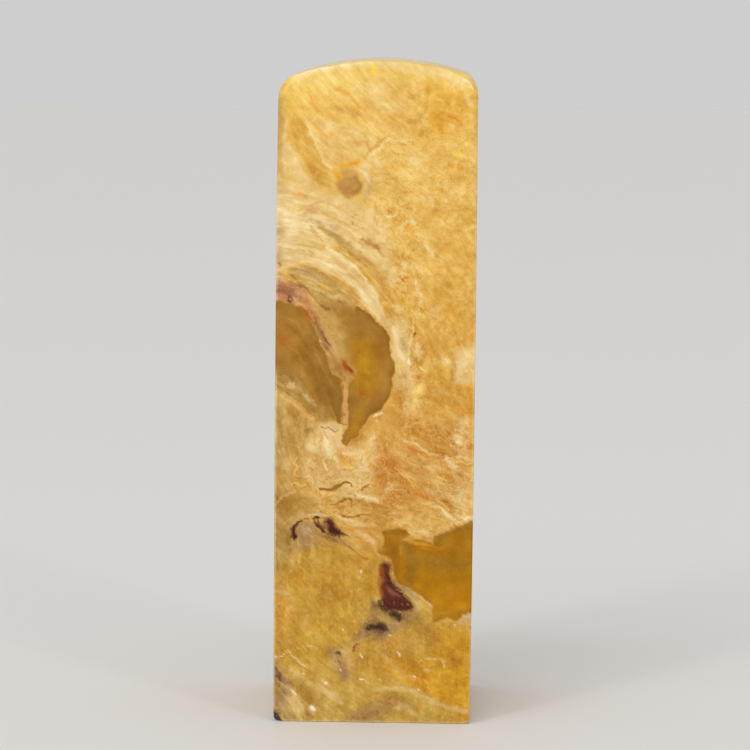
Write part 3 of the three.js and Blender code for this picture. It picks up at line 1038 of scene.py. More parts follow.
def foot_ground() -> tuple[Mark, ...]:
    """Tints of the veiled rock at the foot of the front face.

    Returns:
        The marks, in drawing order.
    """
    moss = run(
        -11.4, 26, -8, 26.6, -5, 26.8, -2, 24.8, 0.2, 23.4, 0.8, 20, 0.2, 16.6, -4, 17.4,
        -10.6, 18.6, -11.6, 21,
    )
    shelf = run(
        0.4, 26.6, 1.4, 26, 2.6, 25.6, 2.9, 23.9, 3.4, 22.2, 4.6, 21.4, 6, 20.6, 7.6, 19.6,
        8.8, 18.6, 10, 17.6, 11.2, 16.3, 12.4, 15.9, 13.5, 16.4, 14, 17.2, 16, 17.8, 16, 13.8,
        14.4, 14.2, 12.4, 15.1, 10, 16, 8, 17.4, 6.4, 18.8, 5.6, 20, 3.8, 20.9, 2.9, 21.9,
        2.4, 23.4, 1, 24.6,
    )
    pink = run(
        -4.5, -0.6, -3.6, 1.4, -2.7, 2.3, -1.1, 2.9, 0.1, 3.3, 1.5, 3.9, 3.1, 4.3, 4.5, 4.1,
        5.7, 3.5, 6.3, 2.6, 5.5, 1.9, 4.1, 1.6, 2.5, 1, 1.3, -0.6,
    )
    halo = run(
        0, 19, 1, 18.2, 3.4, 17.2, 6, 17.8, 6.8, 16.6, 5.6, 15.2, 4, 14.2, 2.2, 13.2, 0, 13, -1.8, 13.6,
        -1.8, 15, -0.6, 16.4,
    )
    brass = run(3, 15.4, 9, 15.4, 12.6, 14.6, 16, 13.4, 16, 2.6, 12, 3, 9, 4.2, 6, 6, 2, 9, 0.6, 12.6)
    mustard = run(-9, 15.6, -5, 15.8, -1, 13.2, 3, 13.4, 9, 14.6, 9, 12.2, 3, 11, -3, 9, -9, 12.6)
    khaki = run(0, 18.4, 5, 17.8, 9, 16, 10, 13.4, 8.4, 10.4, 4, 10, 1, 10.6, -1, 14)
    return drawn(
        Patch(MUSTARD, moss, 1.2, 0.75),
        (MUSTARD, run(-4, 24, -3.4, 20, -3.2, 17), 1.3, 0.5),
        (BRASS, run(-2.4, 24.2, -0.6, 22.6, 0.2, 19.4), 0.9, 0.6),
        (APRICOT, run(-3, 25.8, -1.4, 25, 0.4, 24.4), 0.7, 0.45),
        (TAN, run(-14.6, 22.8, -13.4, 20.6), 1.3, 0.6),
        (SAND, run(-14.9, 20, -12.6, 19.6), 0.9, 0.45),
        (SAFFRON, run(-11.8, 22.2, -10.4, 21.8, -10.8, 23.4), 0.6, 0.55, 0.9),
        Patch(APRICOT, run(-16, 19.2, -13, 19, -12, 18, -13, 15, -16, 14.4), 0.8, 0.6),
        (KHAKI, run(-15, 18, -14, 16, -14, 12.4), 1.7, 0.9),
        Patch(MUSTARD, mustard, 1.4, 0.6),
        (GOLD, run(-12.6, 17.6, -13.4, 14.4, -14.6, 12.6), 1.2, 0.45),
        (SAND, run(-9.8, 16.2, -10.6, 14.8), 0.8, 0.35),
        (LEMON, run(-9.4, 13.9, -9.9, 13.2), 0.8, 0.3),
        (LEMON, run(-3.5, 18.4, -3.5, 16.6), 0.4, 0.35),
        Patch(TAN, shelf, 0.28, 0.7),
        (SAND, run(7.4, 19.6, 9, 18.2, 10.2, 17), 0.35, 0.6, 0.9),
        (BUTTER, run(7.2, 18.2, 9, 17, 11, 15.9), 0.5, 0.4, 0.9),
        (LILAC, run(2.9, 21.5, 3.8, 20.9, 4.8, 20.7), 0.35, 0.9, 0.8),
        (LILAC, run(4.6, 21, 5.8, 20.2, 6.6, 18.8, 6.8, 17.6), 0.6, 0.6),
        (LILAC, run(13.4, 16, 14.8, 16.6, 15.4, 15.4), 0.9, 0.85, 0.8),
        (PEACH, run(14.2, 14.8, 15.2, 14.4), 0.7, 0.5),
        (OLIVE, run(5.4, 15.6, 7.8, 15.2), 0.9, 0.5),
        (KHAKI, run(6.2, 14.4, 8.8, 14.8), 1.0, 0.5),
        (LILAC, run(4.8, 16.6, 5.6, 15.8), 0.5, 0.6, 0.9),
        Patch(BRASS, brass, 1.6, 0.85),
        (BRASS, run(8.4, 6, 12, 4.4, 15, 2.4), 2.4, 0.9, 1.0, 0.1),
        (TREACLE, run(11.6, 10.6, 13.6, 9.2), 1.1, 0.3),
        Patch(KHAKI, run(-16, 9.4, -12, 7.6, -9, 4.6, -7.6, 1, -9, -1, -16, -1), 1.4, 0.5),
        (SAND, run(-13, 4.4, -11.4, 2.6, -10.4, 0.4), 1.3, 0.45),
        (SAND, run(-9.3, 2.4, -8.6, 1.4), 1.0, 0.5),
        Patch(DRAB, run(-7.4, 6.6, -5.4, 4.4, -4, 2.4, -3.6, 1, -6, 1, -8, 3), 1.0, 0.45),
        Patch(SMOKE, pink, 0.6, 0.42),
        (PEACH, run(2.6, 3.5, 4.6, 3.2), 0.9, 0.5),
        (SMOKE, run(-2.6, 1.4, -0.6, 1.2, 1.6, 2.4), 0.9, 0.35),
        (SAND, run(3.4, 2.2, 5.4, 2.6, 6.6, 1.4), 1.0, 0.45),
        (SMOKE, run(-15, 9, -14.2, 7, -13, 5.2, -14.4, 3), 1.8, 0.85, 1.0, 0.2),
        (SLATE, run(-14.8, 2, -14.2, 0.8), 1.3, 0.6),
        (RUST, run(1.4, 24, 1.3, 22, 1.1, 20.4, 1.5, 19.4), 0.7, 0.6, 1.0, 0.2),
        (SMOKE, run(3.2, 22, 4.2, 21, 5.4, 20.2, 6.6, 19), 0.8, 0.7, 1.0, 0.3),
        Patch(SMOKE, halo, 0.9, 0.95),
        (SLATE, run(0.2, 18.4, 1.2, 17.4, 2.6, 16.6, 4.4, 16.2), 1.1, 0.6),
        (SLATE, run(-1, 14.6, 0.8, 14.6, 2.4, 14.3), 1.0, 0.6),
        (LILAC, run(0.4, 16.6, 1.8, 15.9, 3.4, 15.4, 5, 15.8), 0.35, 0.5),
        (KHAKI, run(6.2, 16.9, 7.2, 16, 8.2, 15), 0.9, 0.7),
        (SMOKE, run(-5.9, 11, -5, 10.2, -4.8, 9, -4, 7.2), 1.8, 0.95, 1.0, 0.2),
        (SMOKE, run(-3, 12.6, -1.6, 13.4, -0.6, 13.4), 1.2, 0.7),
        (ROSE, run(-3, 12.2, -2.6, 11.2), 1.0, 0.5),
        (MAUVE, run(-2.8, 1.2, -1, 0.9, 1.4, 2), 1.1, 0.45),
        (DRAB, run(-6.6, 8.4, -4.4, 9.6, -3.2, 12), 1.4, 0.5),
        (PEACH, run(-4.4, 11.6, -3.2, 9, -2.6, 7.4), 1.0, 0.45),
        (KHAKI, run(-7, 14.6, -5.6, 14.2), 0.7, 0.5),
        Patch(KHAKI, khaki, 1.4, 0.5),
        (KHAKI, run(-6.6, 9.6, -5, 11.6, -3.4, 12), 1.4, 0.45),
        (BRASS, run(-9.6, 15, -7, 14.4, -5.4, 14.8), 1.3, 0.5),
        (BRASS, run(-14.4, 18.6, -14, 16, -14.2, 13), 1.2, 0.6),
        (KHAKI, run(-14.4, 8, -14, 5.4, -14.4, 3), 1.3, 0.5),
        (KHAKI, run(-14.2, 27.6, -12.4, 27, -10, 27.4, -7, 27), 1.0, 0.5),
        (BRASS, run(-5.4, 24.4, -3.6, 22.6), 1.1, 0.5),
        (BRASS, run(14.6, 14, 14.2, 9, 14.6, 3), 1.0, 0.6, 1.0, 0.1),
        (SAND, run(10, 17.2, 11.4, 16.4), 0.6, 0.5),
        (SAND, run(-12.4, 8.4, -9.6, 6.2, -7, 4.8, -5, 3), 0.9, 0.4),
        (SLATE, run(-14.8, 8.4, -14.2, 6.8, -14, 5.6), 0.9, 0.5),
        (SAFFRON, run(2, 8.6, 6, 6.6, 10.6, 6.4), 1.2, 0.4),
        (BRASS, run(-10.6, 20.6, -6, 21.6, -3, 19.6), 2.2, 0.4),
    )


def front_pockets() -> tuple[Mark, ...]:
    """Outlines of the clear stone on the front face.

    Returns:
        The marks, in drawing order.
    """
    right_lobe = run(
        -3, 63.3, -1.7, 62.8, -0.7, 62.1, -0.2, 61.4, 0.5, 60.8, 1.1, 60.2, 1.7, 59.6,
        2.1, 58.4, 2.2, 57, 2.5, 56, 2.9, 55, 3, 53.6, 2.6, 52.6, 2.6, 51.4, 2.3, 50, 1.7, 49,
        0.9, 47.8, 0.1, 47.2, -0.7, 46.8, -1.3, 45.8, -2, 45, -2.4, 44.2, -2.9, 43.7, -3.4, 43.4,
        -3.8, 42.8, -4.1, 42.3, -4.6, 42.4, -4.9, 43, -4.8, 44, -4.1, 45, -4, 45.8, -4, 47,
        -4.1, 49, -3.9, 51, -3.4, 52.4, -2, 54, -2.2, 57, -2.8, 60,
    )
    right_veil = run(
        -4.4, 63.6, -3.2, 63, -1.9, 62, -0.4, 60.4, 0.6, 58, 1.2, 55, 1.2, 52, -0.8, 50, -3, 51.4,
        -3.4, 53.6, -3.9, 57, -4.8, 60, -5.4, 62, -5.4, 63.2,
    )
    left_lobe = run(
        -17, 63.4, -13.5, 63.8, -12.3, 63.7, -10.7, 62.4, -9.5, 60.8, -8.7, 59.1, -8.1, 57.8,
        -7.5, 56.2, -6.9, 54.5, -6.3, 53.3, -5.5, 52.5, -5.1, 51.5, -4.9, 50.2, -4.9, 47,
        -4.9, 45.8, -5.5, 45.9, -6.2, 47.4, -7.4, 50, -8.6, 53, -10.6, 55.4, -13, 56.4, -17, 56.6,
    )
    left_veil = run(
        -17, 61.6, -13.5, 61.8, -11, 60, -9.9, 57.6, -8.4, 54, -7, 51.8, -6.4, 49, -6.6, 46.6,
        -7.9, 47.4, -9.4, 50.2, -10.2, 52.2, -11.6, 53.4, -13.4, 53.8, -17, 54,
    )
    small = run(
        -4.9, 82.6, -3.9, 82.9, -3.3, 83, -2.7, 82.3, -2.2, 81.8, -2.1, 81.3, -2.3, 80.8, -2.9, 80.3,
        -3.7, 79.9, -4.3, 79.5, -5.1, 80.2, -5.9, 81, -5.9, 81.8, -5.5, 82.3,
    )
    window = run(
        1.1, 29.6, 1.7, 29.8, 2.5, 29.7, 3.5, 29.9, 4.2, 29.8, 4.9, 29.4, 5.3, 28.9, 4.7, 28.4,
        4.5, 28, 5.7, 27.9, 6.9, 28.2, 8.1, 28, 9.1, 27.6, 9.7, 27.6, 10.1, 28.6, 10.7, 29.2,
        11.7, 29.5, 12.3, 30.1, 13.3, 30.5, 14.1, 30.8, 17, 30.8, 17, 18, 13.9, 17.2, 13.3, 16.4,
        12.5, 16, 11.7, 16.1, 10.7, 16.8, 9.7, 18, 8.5, 18.8, 7.1, 19.8, 5.7, 20.6, 4.5, 21.2,
        3.5, 22, 3.1, 23.4, 2.5, 25.2, 0.8, 26.2, 1.3, 27, 1.5, 28.2,
    )
    return (
        Patch(OLIVE, right_veil, 1.1, 1, 7),
        Patch(OLIVE, right_lobe, 0.13, 1, 7),
        Patch(OLIVE, left_veil, 1.2, 1, 6),
        Patch(OLIVE, left_lobe, 0.2, 1, 6),
        Patch(TAUPE, small, 0.4, 1, 2),
        Patch(TAUPE, run(-5.2, 82.4, -5, 83.8, -4, 84.2, -3.2, 83.6, -3, 82.6), 0.5, 0.5, 2),
        Patch(AMBER, window, 0.13, 1, 9),
    )


def front_depths() -> tuple[Mark, ...]:
    """Tints inside the clear stone on the front face.

    Returns:
        The marks, in drawing order.
    """
    window_foot = run(6.4, 21.4, 10, 20.4, 17, 22, 17, 17.6, 13.6, 16.8, 12, 16, 9.6, 18.2)
    return drawn(
        Patch(BRONZE, run(-16, 61.6, -11, 61.4, -9, 59, -13, 56, -17, 56), 1.2, 0.75, 8),
        (RUST, run(-14.6, 58.4, -12.6, 57.6), 1.4, 0.35),
        (OLIVE, run(-12, 58, -10, 56), 1.8, 0.5),
        (TAUPE, run(-14.4, 61.8, -12.4, 61, -10.6, 59), 0.4, 0.4),
        (UMBER, run(-13.6, 60.4, -11.6, 59.2, -10.2, 57.2), 0.4, 0.45),
        (TAUPE, run(-13.8, 58, -12, 56.6, -10.8, 54.8), 0.35, 0.4),
        (UMBER, run(-10.6, 56.4, -9.4, 54.4, -8.4, 52), 0.4, 0.5),
        (TAUPE, run(-9.4, 57.4, -8.4, 55.2, -7.4, 53.2), 0.3, 0.4),
        (UMBER, run(-8, 52.6, -7, 50.4, -6, 48), 0.35, 0.45),
        (TAUPE, run(-7, 52.8, -6.2, 50.6, -5.6, 48.4), 0.3, 0.4),
        Patch(UMBER, run(-9, 53, -5.4, 51.4, -4.9, 46, -7, 46.6, -8.8, 49.4), 1.6, 0.6, 6),
        Patch(BRONZE, run(-7.6, 62.6, -3.6, 63, -2.6, 61, -3.4, 58.8, -6, 59.6), 1.2, 0.6, 6),
        (TAUPE, run(-6.6, 60, -5.6, 58.2, -4.6, 56.8), 1.1, 0.8),
        (SAND, run(-5.2, 58.6, -4.6, 57), 0.6, 0.4),
        Patch(RESIN, run(-4.4, 57.6, -2, 58.6, 0.4, 57, 1, 52, -1, 50, -3.4, 51), 1.5, 0.6, 6),
        (BRASS, run(-2.2, 56, -1.2, 53.4), 1.4, 0.5),
        Patch(BRONZE, run(0.8, 60.4, 2.4, 58, 3, 53.6, 2.4, 50, 0.8, 48, 0.6, 52, 1, 57), 0.9, 0.5, 6),
        (TREACLE, run(1.6, 59.4, 2.3, 56.4, 2.6, 53.6, 2.2, 50.4, 0.8, 47.9), 0.6, 0.6, 1.0, 0.3),
        (TREACLE, run(-0.2, 61.2, 0.8, 60.3, 1.7, 59.4), 0.4, 0.8),
        (RUST, run(-0.8, 49.6, 0.2, 49.2), 1.6, 0.3),
        (RESIN, run(-2.2, 48, -2.6, 46, -3.4, 44), 1.4, 0.5, 1.0, 0.2),
        (RESIN, run(-2.8, 44.8, -4.2, 43.4, -4.6, 42.4), 1.1, 0.35, 1.0, 0.2),
        (OLIVE, run(-3.2, 82.6, -2.5, 81.7, -2.4, 81, -3.4, 80.2), 0.8, 0.6, 1.0, 0.3),
        Patch(TREACLE, run(0.6, 30, 4.4, 30, 4.2, 26.4, 3.4, 25, 0.6, 25.6), 0.5, 0.6, 6),
        (MARIGOLD, run(0.9, 26.5, 1.7, 26.8), 0.9, 0.7),
        (TREACLE, run(1.2, 29.5, 2.6, 29.3, 4.2, 29.4, 5, 28.9), 0.5, 0.85, 0.8, 0.2),
        (MUSTARD, run(4.2, 28.6, 4.3, 26), 0.35, 0.4, 0.9, 0.3),
        (TREACLE, run(2, 29, 2.6, 27.4, 3.2, 26, 3.6, 23.6), 1.2, 0.6, 1.0, 0.3),
        (UMBER, run(5.2, 27, 5.8, 24, 5.4, 21.6), 1.7, 0.6, 1.0, 0.3),
        (SAFFRON, run(5, 27.9, 6.6, 27.6, 8.2, 27.4, 9.6, 27.1), 0.4, 0.8, 0.9),
        (MARIGOLD, run(7.4, 26.9, 10.6, 26.8), 0.7, 0.5),
        Patch(TREACLE, run(8, 26, 10, 28.6, 13, 30.4, 17, 30.6, 17, 26, 12, 25), 1.6, 0.5, 8),
        (UMBER, run(9.6, 27.4, 10.4, 28.6, 12.6, 29.7, 15, 30.3), 0.6, 0.6, 0.9, 0.2),
        (UMBER, run(6, 25.4, 9, 24.8, 12, 24.4, 14.6, 24.8), 2.1, 0.55),
        Patch(RESIN, window_foot, 1.4, 0.8, 8),
        (RESIN, run(4.2, 22.4, 5.6, 21.4), 0.7, 0.5),
    )


def front_inclusions() -> tuple[Mark, ...]:
    """The dark inclusions of the front face.

    Returns:
        The marks, in drawing order.
    """
    blot = run(
        -7.4, 30.9, -7, 31.2, -6.4, 31.1, -5.9, 30.6, -5.6, 30, -5, 29.3, -4.2, 28.8, -4.9, 28.5,
        -5.9, 28.6, -6.6, 28.9, -7, 29.4, -6.9, 30.2,
    )
    stem = run(
        1.2, 24.4, 1.9, 24.7, 2.6, 24.3, 2.9, 23.7, 2.6, 23, 2.8, 22.3, 3.2, 21.5, 3.8, 20.7,
        4.6, 19.8, 5.6, 18.9, 6.1, 18.3, 5.9, 17.7, 5.2, 17.3, 3, 17.2, 2, 17.5, 1.4, 18.6,
        1.2, 20, 1.3, 21.2, 1.5, 22, 1.3, 22.8, 1.2, 23.6,
    )
    fan = run(1.6, 20, 2.6, 20.8, 4, 19.6, 5.8, 18.4, 5.6, 17.6, 3.4, 17.3, 1.8, 17.8)
    ribs = ((2.3, 19.6), (2.9, 19.9), (3.5, 19.4), (4.05, 19.3), (4.6, 18.9), (5.1, 18.7))
    under_fan = run(2.3, 17, 2.9, 17.3, 3.7, 17.1, 4.3, 16.7, 4.5, 15.9, 4.1, 15.7, 3.5, 16.2, 2.8, 16.5)
    island = run(
        -0.9, 14.5, -0.5, 15.2, 0.3, 15.2, 1.1, 15.5, 1.9, 15.2, 2.4, 14.6, 2.1, 14.1, 0.9, 14.2,
        -0.1, 14.2,
    )
    ring = run(-13.2, 64.7, -12.8, 64.9, -12.4, 64.4, -12.4, 63.9, -12.9, 63.7, -13.3, 64.1)
    return drawn(
        (MAROON, run(-10.9, 30.8, -11.5, 30.4, -11.9, 29.8, -12.2, 29.1), 0.5, 1, 0.8, 0.4),
        (MAROON, run(-12.1, 29.3, -12, 28.8, -11.7, 28.2), 0.68, 1, 0.8, 0.2),
        (BRICK, run(-12.2, 29.3, -12, 28.8), 0.4, 0.8, 0.9),
        (PLUM, run(-12.2, 28.4, -12.7, 28), 0.22, 0.8, 0.7),
        (PLUM, run(-11.7, 28.5, -11.7, 28), 0.25, 0.8, 0.7),
        (SLATE, run(-11, 30.7, -10.5, 31.05, -9.9, 31.25, -9.5, 31.1), 0.13, 0.7, 0.8, 0.2),
        (PLUM, run(-9.85, 31.2), 0.22, 0.85, 0.6),
        (MAROON, run(-9.1, 31.2, -8.6, 31.5, -7.9, 31.4), 0.3, 0.95, 0.7, 0.2),
        (MAROON, run(-9, 30.9, -8.6, 30.2, -8, 29.6, -7.3, 29.2), 0.36, 0.95, 0.7, 0.3),
        (BRICK, run(-8.4, 31, -8.2, 30.5, -7.8, 29.9), 0.36, 0.85, 0.9, 0.3),
        (MAUVE, run(-8.6, 30.9, -8.3, 30.3), 0.25, 0.7, 0.9),
        (MAROON, run(-7.6, 29.1, -6.6, 28.7, -5.4, 28.4, -4.6, 27.8), 0.2, 0.7, 0.9, 0.4),
        Patch(MAROON, blot, 0.32, 1, 1.5),
        (PLUM, run(-6.8, 30, -6.4, 29.3, -5.6, 29), 0.4, 0.6, 0.9),
        (BRICK, run(-6.6, 30.9, -6.1, 30.5), 0.3, 0.6, 0.9),
        (SLATE, run(-7.5, 30.2, -7.4, 29.5), 0.35, 0.7, 0.8),
        (MAROON, run(-5.2, 29.2, -4.4, 28.8, -3.6, 28.5), 0.25, 0.7, 0.8),
        (BRICK, run(-3.6, 27, -3.2, 26.7, -2.9, 26.4), 0.18, 0.8, 0.7),
        (PLUM, run(-13.5, 28.5), 0.25, 0.45, 0.9),
        (PLUM, run(-11.75, 26.3), 0.28, 0.5, 0.9),
        (PLUM, run(-11.7, 24.6, -11.6, 24.2), 0.25, 0.55, 0.9),
        Patch(BRICK, stem, 0.42, 1.0, 1.5),
        (RUST, run(1.35, 24, 1.45, 23.2, 1.8, 22.6), 0.3, 0.35, 0.9, 0.2),
        (PLUM, run(2.3, 23.6, 2.2, 22.8, 2.5, 22, 2.8, 21.4), 0.35, 0.75, 0.9, 0.2),
        (PLUM, run(1.8, 24.2, 2.7, 23.8), 0.22, 0.7, 0.8),
        Patch(MAROON, fan, 0.8, 0.3, 1.5),
        (MAUVE, run(2.2, 20.8, 2.9, 20.2, 4.2, 19.5), 0.65, 0.4),
        *((PLUM, run(x, top, x + 0.15, 17.8), 0.2, 0.6, 0.9, 0.3) for x, top in ribs),
        (MAUVE, run(3.2, 19, 3.3, 18.2), 0.16, 0.45),
        (MAUVE, run(4.3, 18.8, 4.4, 18.1), 0.16, 0.45),
        (RUST, run(1.5, 21.2, 1.4, 20.2, 1.7, 19.4), 0.4, 0.4),
        (PLUM, run(2, 21.7, 3, 20.9, 4.2, 19.9, 5.4, 18.9), 0.2, 0.75, 0.8, 0.2),
        (BRICK, run(1.4, 25.3, 1.7, 24.8), 0.22, 0.7, 0.9),
        (BRICK, run(2.2, 25.6, 2.4, 25), 0.2, 0.7, 0.9),
        (BRICK, run(1.9, 24.9), 0.2, 0.7, 0.9),
        (MAROON, run(3, 21.5, 3.6, 20.9, 4.4, 20.5), 0.2, 0.85, 0.6, 0.3),
        (PLUM, run(4.3, 20.5, 5, 19.8, 5.8, 18.9), 0.14, 0.85, 0.6, 0.3),
        (MAROON, run(5.6, 18.7, 5.7, 18), 0.24, 0.6, 0.9),
        (MAROON, run(1.6, 19, 2.2, 18, 3.2, 17.7, 4.6, 17.6, 5.6, 17.8), 0.5, 0.8, 1.0, 0.3),
        (MAROON, run(2.6, 21.2, 3.4, 20.4, 4.6, 19.5, 5.6, 18.7), 0.35, 0.6, 1.0, 0.2),
        (MAUVE, run(5.3, 18.6, 5.2, 18), 0.2, 0.7),
        (PLUM, run(1, 18.6, 1.4, 17.9, 1.9, 17.3), 0.7, 0.85, 1.0, 0.2),
        (PLUM, run(2.4, 17, 2.5, 16.5), 0.2, 0.75, 0.8),
        Patch(PLUM, under_fan, 0.36, 0.9, 1.2),
        (PLUM, run(4.7, 16.8, 4.9, 16.5), 0.16, 0.8, 0.7),
        (SLATE, run(5.1, 16.1, 5.7, 16.6), 0.1, 0.7, 0.8),
        Patch(PLUM, island, 0.35, 0.9, 1.2),
        (PLUM, run(-1.1, 14, -0.3, 14.5), 0.3, 0.6),
        (SLATE, run(0.2, 13.9, 1.8, 13.9, 2.6, 14.3), 0.7, 0.55),
        (SMOKE, run(0.6, 13, 2.2, 13.2), 0.8, 0.6),
        (MAUVE, run(-1.3, 13.6, -0.6, 13.3), 0.6, 0.7, 0.9),
        (PLUM, run(-5.7, 10.7, -5, 10.6, -4.8, 10.1), 0.48, 0.9, 0.9),
        (PLUM, run(-5, 9.6, -4.8, 8.8), 0.3, 0.8, 0.9),
        (PLUM, run(-4.6, 11.3), 0.13, 0.8, 0.7),
        (MAROON, run(-2.2, 12.3, -2.7, 11.9, -2.9, 11.3, -2.8, 10.8), 0.3, 0.9, 0.9, 0.3),
        (BRICK, run(-2.2, 12.3, -1.7, 12), 0.13, 0.6, 0.8),
        (PLUM, run(-5.4, 7.7), 0.12, 0.85, 0.7),
        (MAUVE, run(-6.7, 14.5, -6.1, 14.3), 0.4, 0.6, 0.9),
        (PLUM, run(-14.6, 8.4, -14, 7.2, -13.9, 6.2), 0.5, 0.6),
        (PLUM, run(-14.9, 7, -14.3, 6.9), 0.3, 0.5, 0.9),
        (MAUVE, run(-13.4, 6.6, -12.6, 5.8), 0.6, 0.4),
        (PLUM, run(-14.8, 1.7, -14.4, 0.8, -13.6, 0.2), 0.38, 0.9, 0.7),
        (PLUM, run(-2.8, 0.8), 0.22, 0.7, 0.8),
        (PLUM, run(-1.9, 1.5), 0.12, 0.8, 0.7),
        (PLUM, run(-1.4, 0.7, -0.9, 1), 0.2, 0.6, 0.8),
        (PLUM, run(-0.1, 3.1), 0.15, 0.7, 0.7),
        (SLATE, run(0.7, 1.9, 1.2, 1.5), 0.25, 0.7, 0.8),
        (MAUVE, run(1.2, 2.9, 1.9, 3.4), 0.25, 0.6, 0.8),
        (MAUVE, run(-3.2, 0.5, -2.4, 1.2), 0.5, 0.4),
        Patch(BRICK, ring, 0.16, 0.85, 1.0),
        (LILAC, run(-12.8, 64.4), 0.22, 0.85, 0.7),
        (PLUM, run(14.8, 17.7, 15.2, 17.5), 0.22, 0.75, 0.8),
        (BRICK, run(14.6, 15.1, 15, 14.9), 0.22, 0.75, 0.8),
    )


